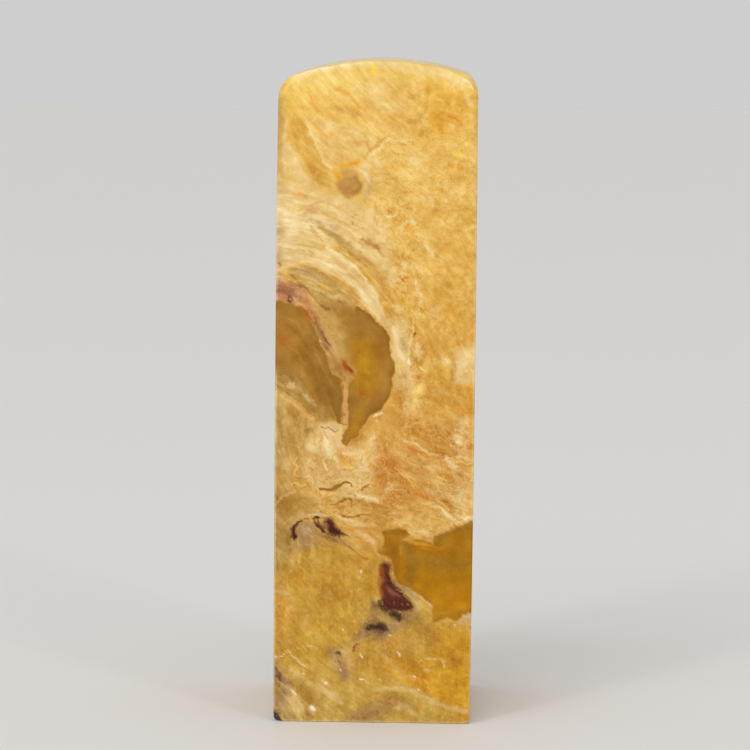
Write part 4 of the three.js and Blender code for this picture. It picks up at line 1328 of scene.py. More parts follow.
def front_iron() -> tuple[Mark, ...]:
    """Iron stains of the front face.

    Returns:
        The marks, in drawing order.
    """
    rosy = run(-16, 66.6, -13.8, 66, -12.4, 66.2, -11.2, 66.2, -12, 65.3, -13.6, 65.2, -16, 65.6)
    return drawn(
        (SAFFRON, run(-5.4, 84.2, -4.4, 84.5, -3.5, 84.7, -2.7, 85.2), 0.65, 0.9, 0.9, 0.2),
        (MARIGOLD, run(-4, 84.6, -3.5, 84.7, -3.2, 85), 0.45, 0.9, 0.9),
        (MARIGOLD, run(-2.9, 85.4, -2.6, 85.1), 0.4, 0.7, 0.9),
        (SAFFRON, run(-6.5, 83.5, -6, 83, -5.6, 82.4), 0.7, 0.9, 0.9, 0.2),
        (MARIGOLD, run(-5.9, 83, -5.5, 82.4), 0.45, 0.9, 0.9),
        (APRICOT, run(-5.6, 82.2, -5.9, 81.2), 0.4, 0.5),
        (APRICOT, run(-2, 88.1, -1.4, 87.4, -1.1, 86.8, -0.7, 86.1), 0.35, 0.7, 0.9),
        (APRICOT, run(-1.1, 86.9, -0.2, 87.1, 0.4, 87.4), 0.3, 0.6, 0.9),
        (MARIGOLD, run(3.4, 87.8, 4.3, 87.6), 0.35, 0.9, 0.9),
        (BRONZE, run(6.7, 90.2, 6.5, 89.4, 6.2, 88.9), 0.5, 0.6),
        (PEACH, run(-12, 77.4, -10.7, 78, -9.7, 78.4, -8.7, 78.8, -7.5, 79), 0.45, 0.7, 0.9),
        (MARIGOLD, run(-10.9, 78, -9.7, 78.4, -8.3, 78.9), 0.22, 0.6, 0.9),
        (ROSE, run(-10.4, 77.6, -9.4, 78), 0.35, 0.4),
        (RUST, run(-9.6, 76.6), 0.24, 0.6, 0.9),
        (RUST, run(-10.4, 76.1), 0.2, 0.5, 0.9),
        (RUST, run(-9.9, 75.2), 0.22, 0.75, 0.9),
        (RUST, run(-9.8, 74.6), 0.16, 0.5, 0.9),
        (RUST, run(-8.2, 73.5, -8.1, 73.1), 0.2, 0.55, 0.9),
        (RUST, run(-8.7, 74.2), 0.18, 0.45, 0.9),
        (RUST, run(-6.9, 76.2), 0.2, 0.45, 0.9),
        (RUST, run(-4.7, 76.2), 0.16, 0.4, 0.9),
        (RUST, run(-2.8, 74.7), 0.22, 0.5, 0.9),
        (RUST, run(-2, 75.1), 0.18, 0.5, 0.9),
        (ROSE, run(8.8, 78.4, 9, 77.7), 0.3, 0.6, 0.9),
        (ROSE, run(8.2, 79.6, 8.6, 78.8), 0.2, 0.4, 0.9),
        (BRICK, run(6.7, 63.5, 6.7, 63), 0.22, 0.6, 0.9),
        (MARIGOLD, run(4, 69.6, 4.2, 69.2), 0.2, 0.5, 0.9),
        (BRICK, run(5.8, 59.35), 0.27, 0.9, 0.7),
        (MARIGOLD, run(5.8, 58.6, 5.9, 58), 0.35, 0.5, 0.9),
        (MARIGOLD, run(6.3, 60, 6.4, 59.2), 0.35, 0.35, 0.9),
        Patch(BRICK, rosy, 0.5, 0.4, 4),
        (MAUVE, run(-13.9, 65.7, -12.6, 65.4), 0.5, 0.5, 0.9),
        (BRICK, run(-11.5, 66.3, -11, 65.9), 0.4, 0.35, 0.9),
        (MAUVE, run(-12.5, 63.8, -12, 63.4), 0.4, 0.5, 0.9),
        (BRICK, run(-8.6, 63.6, -7.6, 63.1, -6.8, 62.8), 0.5, 0.55),
        (RUST, run(-11.6, 63.5, -10.4, 62.2, -9.2, 60.7), 0.28, 0.8, 0.9),
        (BRICK, run(-9.9, 62.6, -8.7, 60.4, -8, 59.4), 0.3, 0.35, 0.9),
        (MAUVE, run(-8.8, 60.2, -7.7, 58.6, -6.6, 57.2), 0.45, 0.8, 0.9),
        (BRICK, run(-8.3, 59.4, -7.4, 58.3, -6.8, 57.5), 0.25, 0.7, 0.9),
        (MAUVE, run(-6.6, 56.2, -5.8, 55), 0.3, 0.5, 0.9),
        (BLOOD, run(-4.7, 54.9, -4.3, 54.4, -3.9, 53.9, -3.5, 53.5), 0.6, 0.95, 0.8, 0.5),
        (MAROON, run(-4.1, 54.1, -3.7, 53.7, -3.4, 53.4), 0.35, 0.6, 0.9),
        (RUST, run(-4.9, 55.3, -4.5, 54.8), 0.45, 0.9, 0.9),
        (RUST, run(-5, 55.4, -4.1, 53.6, -3.4, 53), 1.0, 0.5),
        (RUST, run(-2.8, 54.1), 0.35, 0.4),
        (RUST, run(-4.2, 55.6), 0.3, 0.3),
        (RUST, run(-5.3, 52.4, -5.2, 51.9), 0.4, 0.8, 0.9),
        (RUST, run(-4.9, 51.5, -4.75, 50.6), 0.3, 0.7, 0.9),
        (RUST, run(-5.5, 52.2), 0.3, 0.4),
        (RUST, run(-2.4, 50.6, -1.5, 49.9), 0.8, 0.5),
        (BRICK, run(-4.5, 49.2), 0.22, 0.5, 0.9),
        (BRICK, run(-4.5, 48.2), 0.22, 0.5, 0.9),
        (BRICK, run(-4.6, 47.2, -4.6, 46.8), 0.26, 0.6, 0.9),
        (RUST, run(3.6, 48.4), 0.2, 0.5, 0.9),
        (RUST, run(4.6, 48.5), 0.24, 0.65, 0.9),
        (RUST, run(5.9, 46.6, 6.4, 46), 0.22, 0.55, 0.9),
        (RUST, run(5, 47.4, 5.6, 46.8), 0.16, 0.4, 0.9),
        (RUST, run(3.2, 49.4), 0.16, 0.4, 0.9),
        (SAFFRON, run(-0.6, 45, 0.6, 45, 1, 44.6), 0.35, 0.6, 0.9),
        (RUST, run(-4.5, 28.8, -3.1, 28.4, -0.9, 28.3), 0.13, 0.6, 0.8),
        (RUST, run(-5.1, 27.8, -3.3, 26.7, -2.7, 26.2, -1.5, 25.4, -0.3, 25.2), 0.3, 0.5, 0.9),
        (RUST, run(-1.6, 25.5, -0.4, 25), 0.4, 0.35),
        (ROSE, run(-4.6, 28.2, -2.4, 26.8), 0.5, 0.35),
        (RUST, run(1.5, 21.6, 1.4, 20.4, 1.9, 20.6), 0.5, 0.75, 0.9),
        (BRICK, run(1.4, 20.6, 1.5, 19.6), 0.3, 0.6, 0.9),
        (RUST, run(6.2, 19.65, 6.8, 19.4, 7.3, 19.05), 0.14, 0.85, 0.7),
        (BRICK, run(-14.2, 17.7), 0.3, 0.65, 0.9),
        (RUST, run(-14.3, 16.2, -13.8, 16.2), 0.4, 0.5, 0.9),
        (RUST, run(-11.9, 18.9, -13.1, 17.6, -14.3, 16), 0.3, 0.3),
        (MAUVE, run(-4.6, 7.4, -3.9, 6.6, -3.6, 6), 0.7, 0.4),
        (MARIGOLD, run(6.7, 3, 7.5, 2.8), 0.5, 0.75, 0.9),
        (MILK, run(6.1, 2.5, 6.5, 2.2), 0.14, 0.6, 0.9),
        (MAUVE, run(5.2, 3.6, 6.2, 2.8), 0.22, 0.5, 0.9),
        (APRICOT, run(-13.2, 7.4, -12.2, 7), 0.5, 0.3),
    )


def front_cracks() -> tuple[Mark, ...]:
    """Fine cracks of the front face, stained brown, and the pale edges of the crust's torn leaves, each
    with a painted shadow beside it.

    Returns:
        The marks, in drawing order.
    """
    long_crack = run(
        -8.2, 35.8, -7.5, 35.65, -6.7, 35.7, -6.1, 35.8, -5.5, 36.3, -4.9, 36.6, -4.3, 36.75,
        -3.7, 36.6, -3.3, 36.1,
    )
    hooked_crack = run(
        -6.6, 33.2, -5.8, 33.3, -5.1, 33.9, -4.6, 34.1, -4.1, 34.4, -3.5, 34.2, -3.3, 33.4, -3.5, 32.7
    )
    low_crack = run(-5, 32.1, -4.7, 31.7, -4.2, 31.5, -3.3, 31.45, -2.5, 31.7, -1.5, 31.9, -0.3, 31.9)
    fold = run(-13.1, 67.9, -11.9, 67.25, -10.9, 66.3, -9.9, 65.3, -8.9, 64.3, -8.1, 63.5)
    slant = run(-15, 51.7, -13.3, 50.45, -12.1, 49.45, -10.9, 48.6, -9.7, 47.3, -8.5, 45.9)
    leaves = (
        run(-6.1, 41.2, -6.2, 40.3, -5.3, 39.5, -4.8, 38.9, -3.9, 39.1, -3.4, 38.8, -2.7, 39.5),
        run(-2.2, 40.1, -1.9, 41, -2.2, 41.8),
        run(-1, 41.8, -0.6, 41, -1.1, 40.3, -0.8, 39.5, -1.6, 39),
        run(-11.5, 40.4, -12, 39.5, -11.5, 38.9, -11.8, 38.1, -11.1, 37.6),
        run(-10.4, 37.4, -9.6, 37.5, -9.1, 36.8, -9.3, 36.1, -8.6, 35.5),
        run(-12.4, 36.2, -11.6, 36.6, -11.1, 36.1, -10.2, 36.2),
        run(-9.5, 40.2, -9.8, 39.4, -9.2, 38.8),
        run(-7.3, 40.4, -7.6, 39.7, -7.1, 39.2),
        run(-6.9, 34.7, -6.1, 35, -5.4, 34.8),
        run(-7.9, 32.9, -7, 32.7, -6.3, 32.1, -5.9, 31.4, -5.1, 31.1),
        run(-5.6, 31.8, -4.4, 31, -3.6, 30.3, -2.2, 30.1),
        run(-2.4, 35.4, -1.9, 36.3, -1.2, 36.3, -0.7, 36.8, 0, 36.4),
        run(-2.5, 37.7, -1.6, 37.5, -0.9, 37.9),
        run(10.7, 40.3, 11.2, 40.6, 11.8, 40.3, 12.1, 39.8, 13, 40.1, 13.8, 39.6, 14.8, 39.9),
        run(7, 33.4, 8.2, 33.6, 9.5, 33.9, 10.6, 33.3, 11.4, 32.7),
        run(12.2, 32.2, 13, 31.8, 13.6, 31.3),
        run(3.2, 39.1, 4.2, 38.3, 4.6, 37.7, 5.5, 37, 6.2, 36.1),
    )
    # Each torn leaf is a pale butter edge with a painted shadow: an amber line set just below and to its
    # right.
    shadow = np.array([0.12, -0.18])
    folds = tuple(
        Stroke(hue, leaf + shift, reach, weight, 1.0, 0.4)
        for leaf in leaves
        for hue, shift, reach, weight in (
            (AMBER, shadow, 0.24, 0.45),
            (BUTTER, -0.3 * shadow, 0.24, 0.6),
        )
    )
    return drawn(
        *folds,
        (TREACLE, long_crack, 0.32, 1, 0.5),
        (TREACLE, hooked_crack, 0.32, 1, 0.5),
        (TREACLE, run(-5.5, 32.8, -5, 32.75, -4.8, 32.4), 0.16, 0.6, 0.7),
        (TREACLE, low_crack, 0.3, 1, 0.5),
        (TREACLE, run(-0.7, 36.6, -1.3, 36.25, -1.9, 35.4), 0.28, 0.9, 0.7),
        (TREACLE, run(-4.3, 34.9, -3.6, 35, -2.9, 34.85), 0.14, 0.5, 0.7),
        (RUST, run(-7.6, 37, -7.3, 36.7), 0.19, 0.7, 0.8),
        (RUST, run(-7.3, 33.6, -7.2, 33.3), 0.19, 0.7, 0.8),
        (RUST, run(-3.6, 76.7, -3.2, 76.9, -2.7, 77.25), 0.19, 0.75, 0.8),
        (RUST, run(-3.8, 76.1, -3.5, 75.7), 0.16, 0.6, 0.8),
        (RUST, run(1.5, 78, 2.3, 77.5), 0.22, 0.55, 0.9),
        (RUST, run(2.9, 67, 3.6, 66.85, 4.3, 66.6), 0.19, 0.6, 0.8),
        (RUST, run(3.3, 66.1, 4, 65.7, 4.9, 65.5), 0.22, 0.7, 0.8),
        (RUST, run(3.4, 68, 3.8, 67.9), 0.34, 0.85, 0.7),
        (RUST, run(3.8, 67.7, 4.15, 67.35, 4.5, 67.8, 5, 67.9), 0.23, 0.85, 0.7, 0.4),
        (RUST, run(3.3, 68.7), 0.31, 0.5, 0.9),
        (UMBER, run(-9.5, 69.05, -8.8, 68.6, -8.1, 68.2, -7.3, 67.6), 0.19, 0.7, 0.8, 0.5),
        (UMBER, run(-11.4, 71.7, -10.4, 71.4, -9.5, 71), 0.14, 0.4, 0.8),
        (UMBER, fold, 0.26, 0.65, 0.9, 0.5),
        (UMBER, run(-12.8, 68, -12.3, 67.7), 0.54, 0.6, 0.9),
        (UMBER, run(-5.6, 46.1, -5, 45.75, -4.1, 45.6), 0.2, 0.75, 0.7, 0.4),
        (UMBER, run(-8.1, 45.3, -7.4, 45, -6.9, 45, -5.9, 44.5, -5.5, 44.65), 0.2, 0.8, 0.7, 0.4),
        (UMBER, run(-4.8, 44.5, -4.4, 44.7), 0.16, 0.6, 0.8),
        (UMBER, run(-7.2, 43.8, -6.9, 43.3), 0.16, 0.5, 0.8),
        (UMBER, slant, 0.2, 0.5, 0.8, 0.4),
        (BRONZE, run(9.1, 31, 9.9, 31.15, 10.7, 31), 0.19, 0.6, 0.8),
        (BRONZE, run(9.3, 30.3, 9.9, 30.5, 10.3, 30.2), 0.19, 0.5, 0.8),
        (BRONZE, run(12, 31.2, 12.9, 31.2, 13.5, 30.9), 0.16, 0.5, 0.8),
        (BRONZE, run(1.7, 87, 2.9, 86.3, 4.5, 86.1), 0.25, 0.5, 0.9),
        (BRONZE, run(2.9, 83, 3.3, 81.9, 4.7, 80.9), 0.25, 0.45, 0.9),
        (BRONZE, run(4.9, 83.1, 5.7, 83.8), 0.2, 0.5, 0.9),
        (BRONZE, run(9.3, 81.8, 10.3, 82.5, 11.2, 82.9), 0.22, 0.5, 0.9),
        (BRONZE, run(-1.9, 85.4, -1.2, 86.4, -0.2, 87.4, 0.8, 88.2, 1.8, 88.9), 0.3, 0.5, 0.9, 0.3),
        (BRONZE, run(7.3, 96.9, 7.5, 95, 7.2, 93, 6.4, 91.4, 6.7, 90), 0.46, 0.25),
        (BRONZE, run(7.9, 72.1, 9.2, 70.9, 10.7, 69.9), 0.25, 0.5, 0.9),
        (BRONZE, run(-0.5, 79.4, -0.2, 77.6, -0.1, 75.4), 0.31, 0.35),
    )


def front_threads() -> tuple[Mark, ...]:
    """Pale threads and white flecks of the front face.

    Returns:
        The marks, in drawing order.
    """
    flecks = (
        (-1.7, 14.4, 0, 0, 0.27), (-1.8, 16.9, 0, 0.15, 0.16), (-1.2, 18, -0.1, 0.15, 0.12),
        (-4.3, 14.2, -0.15, 0.3, 0.12), (-6.3, 13.4, 0, 0, 0.14), (0.9, 12.8, 0, 0.35, 0.14),
        (5.4, 13.9, 0, 0, 0.3), (10, 12.1, -0.2, 0.1, 0.18), (-1.6, 10.3, -0.25, 0.35, 0.2),
        (4.1, 10.7, -0.35, 0.6, 0.19), (-3.5, 8.3, 0, 0, 0.17), (-4.6, 8, -0.2, 0.2, 0.12),
        (-1.5, 6.8, -0.35, -0.05, 0.32), (1.2, 6.8, -0.2, 0, 0.14), (-6.8, 6.1, -0.2, 0.1, 0.5),
        (-11.8, 4.6, -0.4, 0.3, 0.16), (12.3, 2, -0.15, 0, 0.2), (-8.9, 2.2, -0.3, 0.4, 0.5),
        (-10.3, 7.4, -0.2, 0.2, 0.12), (12.4, 15.3, -0.3, 0.1, 0.2), (7, 5.2, -0.3, 0.15, 0.12),
        (-6.7, 25, 0, 0.4, 0.12), (-1.8, 23.2, 0, 0.4, 0.14), (-5, 17.6, 0, 0.5, 0.12),
        (-8.2, 20.6, 0.1, 0.5, 0.13), (2.6, 13.4, -0.1, 0.2, 0.12), (-7.8, 12.7, -0.1, 0.2, 0.12),
        (6.4, 7.2, -0.2, 0.1, 0.14),
    )
    spots = tuple(
        Stroke(MILK, run(x - dx, z - dz, x + dx, z + dz), reach, 0.9, 0.8)
        for x, z, dx, dz, reach in flecks
    )
    return drawn(
        (CREAM, run(-8.5, 58.8, -8.1, 57.3, -7.3, 56.5), 0.12, 0.35, 0.8),
        (MILK, run(-14.9, 10.1, -13.7, 10.2, -12.9, 10.8), 0.14, 0.5, 0.9),
        (CREAM, run(-12.9, 11.2, -12.1, 10.2, -10.9, 9.1, -9.9, 8.5, -8.9, 7.9), 0.18, 0.6, 0.9),
        (BUTTER, run(-11.6, 11.2, -10.5, 11.7, -9.1, 11.7, -8.2, 11.2), 0.16, 0.55, 0.9),
        (CREAM, run(6.3, 9.5, 7, 9.5, 7.7, 9.9, 9.3, 10, 11.3, 9.5), 0.16, 0.5, 0.9),
        (CREAM, run(10.1, 9.9, 10.7, 9.4, 11, 8.5), 0.14, 0.5, 0.9),
        (SAND, run(7.9, 8.2, 8.7, 8.1), 0.5, 0.5),
        (BUTTER, run(7.9, 6.7, 8.5, 6.2, 8.6, 5.6), 0.16, 0.5, 0.9),
        (SAND, run(0.6, 11.6, 2.9, 9, 4.5, 7.8, 6.9, 6.8), 0.7, 0.2),
        (SAND, run(0.4, 5, 2.5, 5.4, 4.5, 5.4, 6.9, 4.6, 10.5, 3, 15, 1.7), 0.7, 0.35, 1.0, 0.3),
        (SAND, run(-7.9, 5.9, -6.4, 4.6, -5.1, 3.8, -4.3, 2.6), 0.6, 0.4),
        (SAND, run(-14.4, 6.4, -12, 4.6, -10.6, 2.4, -9.8, 0.4), 0.4, 0.4),
        (CREAM, run(-8.4, 58.2, -7.9, 57.8), 0.2, 0.4),
        (MILK, run(2.2, 17.3, 2.7, 17.15, 3.1, 17.45, 3.9, 17.2, 4.2, 16.9), 0.1, 0.9, 0.6, 0.2),
        (LILAC, run(2.2, 20.6, 2.9, 20.4), 0.3, 0.8, 0.8),
        (LILAC, run(0.6, 19.2, 0.9, 18.4), 0.35, 0.55),
        (MILK, run(-2.1, 37.5, -2.15, 36.9), 0.12, 0.9, 0.7),
        (MILK, run(-7.6, 39.5, -7, 38.6), 0.2, 0.6, 0.9),
        (MILK, run(-9, 49.2, -9, 49), 0.3, 0.6, 0.9),
        *spots,
    )


def habit_area(outline: Path, soft: float, weight: float = 1.0) -> Patch:
    """An area where the rock has a habit, such as fine laminae. Its hue isn't used."""
    return Patch(MILK, outline, soft, weight, 6)


def front_markings() -> Markings:
    """Everything that is drawn on the front face.

    Returns:
        The face's markings.
    """
    upper_left = run(-16, 80, -8, 79, -2, 76, 2, 70, 3, 62, 1, 60, -4, 64, -16, 67)
    return Markings(
        face=Face.FRONT,
        ground=(
            *crown_ground(),
            *laminated_ground(),
            *vein_ground(),
            *granular_ground(),
            *crust_ground(),
            *foot_ground(),
        ),
        pockets=front_pockets(),
        depths=front_depths(),
        inclusions=front_inclusions(),
        # The stains layer here also carries the painted shadows beside the crust's torn leaves.
        stains=(*front_iron(), *front_cracks(), *front_threads()),
        laminae=(
            habit_area(upper_left, 1.5),
            habit_area(run(-16, 52, -9, 46, -9, 42, -16, 34), 1.5, 0.5),
            habit_area(run(5, 45, 16, 44, 16, 32, 6, 35), 1.5, 0.8),
            habit_area(run(-16, 12, -4, 6, -3, -1, -16, -1), 2, 0.45),
            habit_area(run(-12, 26, 0, 24, 0, 13, -12, 12), 2, 0.15),
            habit_area(run(-12, 96, -2, 96, 4, 90, -2, 86, -10, 84), 2.5, 0.45),
        ),
        curls=(
            habit_area(run(0, 88, 8, 90, 16, 89, 16, 80, 4, 79, -1, 80), 2, 0.35),
            habit_area(run(0, 78, 6, 78, 7, 60, 8, 48, 5, 44, 3, 50, 4, 56, 2, 64), 1.5, 0.6),
            habit_area(run(-11, 45, -4, 44, 2, 44, 3, 38, 3, 31, -6, 31, -10, 36), 1.5, 0.55),
            habit_area(run(4, 44, 16, 44, 16, 30, 3, 30), 1.5, 0.3),
        ),
        grains=(
            habit_area(run(2, 80, 16, 82, 16, 44, 7, 46, 6, 60), 2.5),
            habit_area(run(5, 98, 16, 98, 16, 86, 5, 88), 2, 0.7),
        ),
        veils=(habit_area(run(-16, 27, 1, 26, 2, 18, 16, 15, 16, -1, -16, -1), 2.5),),
    )


def loose_streaks(guides: Guides, hues: tuple[Hue, ...], seed: int, count: int) -> tuple[Mark, ...]:
    """Soft streaks of tint along the beds of a face, for the rock between its larger markings.

    Args:
        guides: how the beds run on the face.
        hues: the tints.
        seed: a number for another set of places.
        count: how many streaks there are.

    Returns:
        The streaks.
    """
    lowest, highest = (-15, 1), (15, 97)
    turn, stretch, bow = 0.25, (0.8, 4.0), 0.35
    faintest, strongest = (0.25, 0.3), (1.3, 0.65)
    chance = np.random.default_rng(seed)
    known = np.array(guides)
    marks = []
    for number in range(count):
        at = chance.uniform(lowest, highest)
        lead = known[np.argmin(np.linalg.norm(known[:, :2] - at, axis=1)), 2:]
        lead = (lead + chance.normal(0, turn, 2)) * chance.uniform(*stretch)
        bend = np.array((-lead[1], lead[0])) * chance.uniform(-bow, bow)
        path = np.array((at - lead, at + bend, at + lead))
        reach, weight = chance.uniform(faintest, strongest)
        marks.append(Stroke(hues[number % len(hues)], path, reach, weight))
    return tuple(marks)


TINTS = (CREAM, GOLD, SAND, TAN, CREAM, SAFFRON, BUTTER, DRAB)


def right_markings() -> Markings:
    """What is drawn on the right face, where the window and the crust run on from the front.

    Returns:
        The face's markings.
    """
    window = run(
        -17, 31, -14, 30.6, -11, 29.4, -9, 29.8, -6.4, 31.4, -3.6, 31.2, -1.4, 29.4, 0.6, 28.2,
        1.4, 25.6, 0.6, 22.6, -1.4, 20.6, -2.4, 17.6, -5, 15, -8, 14.6, -11, 16.4, -14, 17.4, -17, 18,
    )
    eye = run(
        3, 71.4, 4.4, 73.8, 6.6, 76, 9.4, 76.4, 10.6, 74.6, 12, 72.8, 11.6, 69.4, 12.4, 66, 11, 62.6,
        9.4, 60, 8.8, 62.6, 7.4, 64.4, 5.2, 65, 4.6, 67.6,
    )
    crust = run(-16, 46, -8, 45, -2, 42.6, 6, 42, 16, 44, 16, 36, 6, 34.6, -2, 33.6, -9, 32.6, -16, 32.4)
    blot = run(3, 21.4, 4.6, 22.8, 6.2, 22.4, 6.6, 20.6, 8.4, 18.6, 7.4, 17.6, 5, 18.4, 3.4, 19.6)
    return Markings(
        face=Face.RIGHT,
        ground=drawn(
            *loose_streaks(Bedding.right, TINTS, 3, 110),
            Patch(BUTTER, run(-16, 101, 16, 101, 16, 95, 4, 96.6, -16, 95), 2.0, 0.6),
            Patch(SAND, crust, 0.9, 0.5),
            Patch(CREAM, run(-16, 58, -14, 57.4, -13.4, 54.6, -14.6, 52.4, -16, 52), 0.5, 0.6),
            Patch(APRICOT, run(-16, 44, -9, 42.6, -4, 40, -8, 37.4, -16, 38), 1.2, 0.6),
            (MARIGOLD, run(-15, 33.4, -10, 32.6, -5, 33.6, 0, 32.6), 0.8, 0.5),
            (CREAM, run(-13, 36, -7, 35.4, -1, 36.6, 6, 36.2), 0.7, 0.7, 0.9),
            (CREAM, run(1.4, 74, 5, 77.8, 10, 78, 13.4, 74, 13.6, 67, 11.6, 60), 0.8, 0.7, 0.9),
            (SAND, run(2.6, 68, 4, 64.4, 7.4, 62.6), 0.5, 0.7, 0.9),
            (SAND, run(-15, 16.8, -11, 15.4, -8, 13.4, -3, 13.8, 1, 17.4), 0.8, 0.7, 0.9),
            Patch(BRASS, run(-16, 13, -8, 11.6, 0, 12.4, 9, 9, 16, 8, 16, -1, -16, -1), 2.0, 0.55),
            Patch(SMOKE, run(1.6, 20, 4, 24, 8, 23.4, 10, 18.6, 8, 16, 4, 16.4), 0.9, 0.75),
            (CREAM, run(-13.5, 95.4, -4, 97.4, 6, 96.4), 1.0, 0.4),
        ),
        pockets=(Patch(AMBER, window, 0.2, 1, 6), Patch(OLIVE, eye, 0.25, 1, 4)),
        depths=drawn(
            Patch(RESIN, run(-12, 20, -5, 17, -1, 21, -2, 25, -9, 24), 1.8, 0.7, 6),
            Patch(TREACLE, run(-8, 30.6, -3, 30.4, 0.4, 27, -2, 25.6, -7, 28), 1.4, 0.6, 6),
            (RESIN, run(6, 71, 8.4, 67.4), 1.6, 0.7),
        ),
        inclusions=drawn(
            Patch(MAROON, blot, 0.34, 0.95, 1.5),
            (PLUM, run(4.6, 21.6, 5.4, 19.6, 7, 18.4), 0.6, 0.6),
            (BRICK, run(2.2, 23.4, 3, 22.4, 3.6, 21.6), 0.4, 0.8, 0.9),
            (PLUM, run(10, 10.6, 11, 9.8), 0.5, 0.6),
        ),
        stains=drawn(
            (TREACLE, run(-6, 39.4, -4, 39, -2.4, 39.8, 0, 39.4), 0.26, 0.9, 0.9),
            (TREACLE, run(3, 38, 5.4, 38.6, 7.4, 38), 0.24, 0.8, 0.9),
            (RUST, run(12.2, 74, 12.4, 70, 12, 67.4), 0.26, 0.6, 0.9),
            (UMBER, run(-4, 91, -1, 88.6, 1, 84.4, 4, 82), 0.26, 0.5, 0.9),
            (CREAM, run(-12, 8, -6, 6.4, 0, 3.6, 6, 2.6), 0.3, 0.6, 0.9),
        ),
        curls=(habit_area(crust, 1.5, 0.5),),
        grains=(habit_area(run(-16, 86, 16, 86, 16, 48, -16, 47), 3, 0.7),),
        veils=(habit_area(run(-16, 16, 16, 18, 16, -1, -16, -1), 2.5, 0.7),),
    )


def left_markings() -> Markings:
    """What is drawn on the left face, where the rosy vein and a clear lobe run on from the front.

    Returns:
        The face's markings.
    """
    lobe = run(
        17, 63.8, 13.4, 63.6, 11, 62.2, 9.4, 61.8, 7, 61, 4, 59.4, 3, 57.2, 1, 55.4, 0.4, 52.4,
        1.8, 50.4, 1.4, 48, 3.6, 46.6, 6, 48.4, 7.4, 51, 10, 53, 13.4, 55, 17, 56,
    )
    hollow = run(
        -9.6, 82, -8, 83.4, -6, 82.8, -4.6, 83, -3.8, 81, -4.6, 79.4, -6.4, 78.4, -8.6, 78.8, -9.2, 80.4
    )
    vein = run(
        17, 67, 13.4, 66.8, 10, 65.2, 7.4, 64.2, 4, 62.8, 1.4, 60.2, -0.6, 57.6, -1.4, 54, -3, 50.6,
        -3.8, 47, -3.4, 46.4, -1.8, 49.6, -0.2, 52.6, 0.2, 56.4, 3, 60.2, 6, 61.6, 9.6, 62.4,
        13, 64, 17, 64,
    )
    island = run(10.4, 30.6, 12.4, 31.2, 14.6, 30.6, 14, 28.4, 12, 27.4, 10.6, 28.6)
    return Markings(
        face=Face.LEFT,
        ground=drawn(
            *loose_streaks(Bedding.left, TINTS, 5, 110),
            Patch(BUTTER, run(-16, 101, 16, 101, 16, 93, 4, 95.6, -16, 96), 2.0, 0.6),
            Patch(SAND, run(16, 81, 6, 80, -2, 74, -6, 68, -4, 62, 4, 66, 16, 70), 1.2, 0.7),
            (CREAM, run(15, 72, 8, 70.4, 2, 67, -2, 62), 1.0, 0.7, 0.9),
            (CREAM, run(15, 76.4, 9, 75.6, 2, 71.4, -3, 66), 0.6, 0.7, 0.9),
            Patch(ROSE, vein, 0.8, 0.6),
            (PEACH, run(14, 65, 8, 63.2, 3, 60.8), 0.5, 0.7, 0.9),
            Patch(KHAKI, run(17, 54.6, 9, 52, 3, 49.4, -1, 45, 3, 38, 10, 34, 17, 32), 1.6, 0.6),
            (SAND, run(15, 50, 10, 47.4, 5, 44, 2, 40), 0.9, 0.6),
            Patch(SMOKE, run(8, 29, 11, 32.4, 16, 32, 16, 26, 11, 25.6), 0.9, 0.6),
            Patch(MUSTARD, run(-16, 26, -4, 28, 6, 24, 16, 23, 16, 8, 4, 9, -8, 12, -16, 10), 2.4, 0.6),
            Patch(LILAC, run(16, 5, 10, 3.6, 8, -1, 16, -1), 0.8, 0.6),
        ),
        pockets=(Patch(OLIVE, lobe, 0.25, 1, 5), Patch(TAUPE, hollow, 0.4, 1, 3)),
        depths=drawn(
            Patch(BRONZE, run(15, 62, 8, 60, 4, 57, 9, 55, 16, 57), 1.5, 0.6, 5),
            (UMBER, run(12, 54, 7, 52, 3, 51), 1.4, 0.5),
            (RUST, run(9, 58, 7, 56.6), 1.4, 0.3),
        ),
        inclusions=drawn(
            Patch(MAROON, island, 0.34, 0.9, 1.5),
            (PLUM, run(13.6, 29.8, 12.4, 28.6), 0.5, 0.7),
            (MAROON, run(9.6, 31.6, 8.4, 30.8, 8, 29.4), 0.3, 0.8, 0.9),
            (PLUM, run(14.6, 1.6, 13.8, 0.8), 0.6, 0.8, 0.9),
            (MAUVE, run(2, 18, 3.4, 16.4), 0.7, 0.5),
        ),
        stains=drawn(
            (RUST, run(14, 64, 8, 61.8, 4, 59.8, 1.4, 56.4), 0.3, 0.8, 0.9),
            (BRICK, run(-2, 55, -3.4, 51.4), 0.4, 0.5),
            (UMBER, run(13, 68, 8, 66.4, 3.4, 63.6), 0.26, 0.6, 0.9),
            (MARIGOLD, run(-4, 84.6, -7, 85.4, -10, 84.4), 0.5, 0.7, 0.9),
            (TREACLE, run(-9, 38, -6.4, 37.2, -4.4, 38, -2.4, 37.4), 0.26, 0.8, 0.9),
            (CREAM, run(12, 12, 6, 9.4, 0, 5.4, -5, 3), 0.35, 0.5),
        ),
        laminae=(habit_area(run(16, 81, 4, 79, -5, 70, -3, 58, 4, 64, 16, 68), 1.5),),
        grains=(habit_area(run(-16, 70, -6, 64, -6, 44, -16, 40), 3),),
        veils=(habit_area(run(-16, 28, 16, 26, 16, -1, -16, -1), 2.5),),
    )


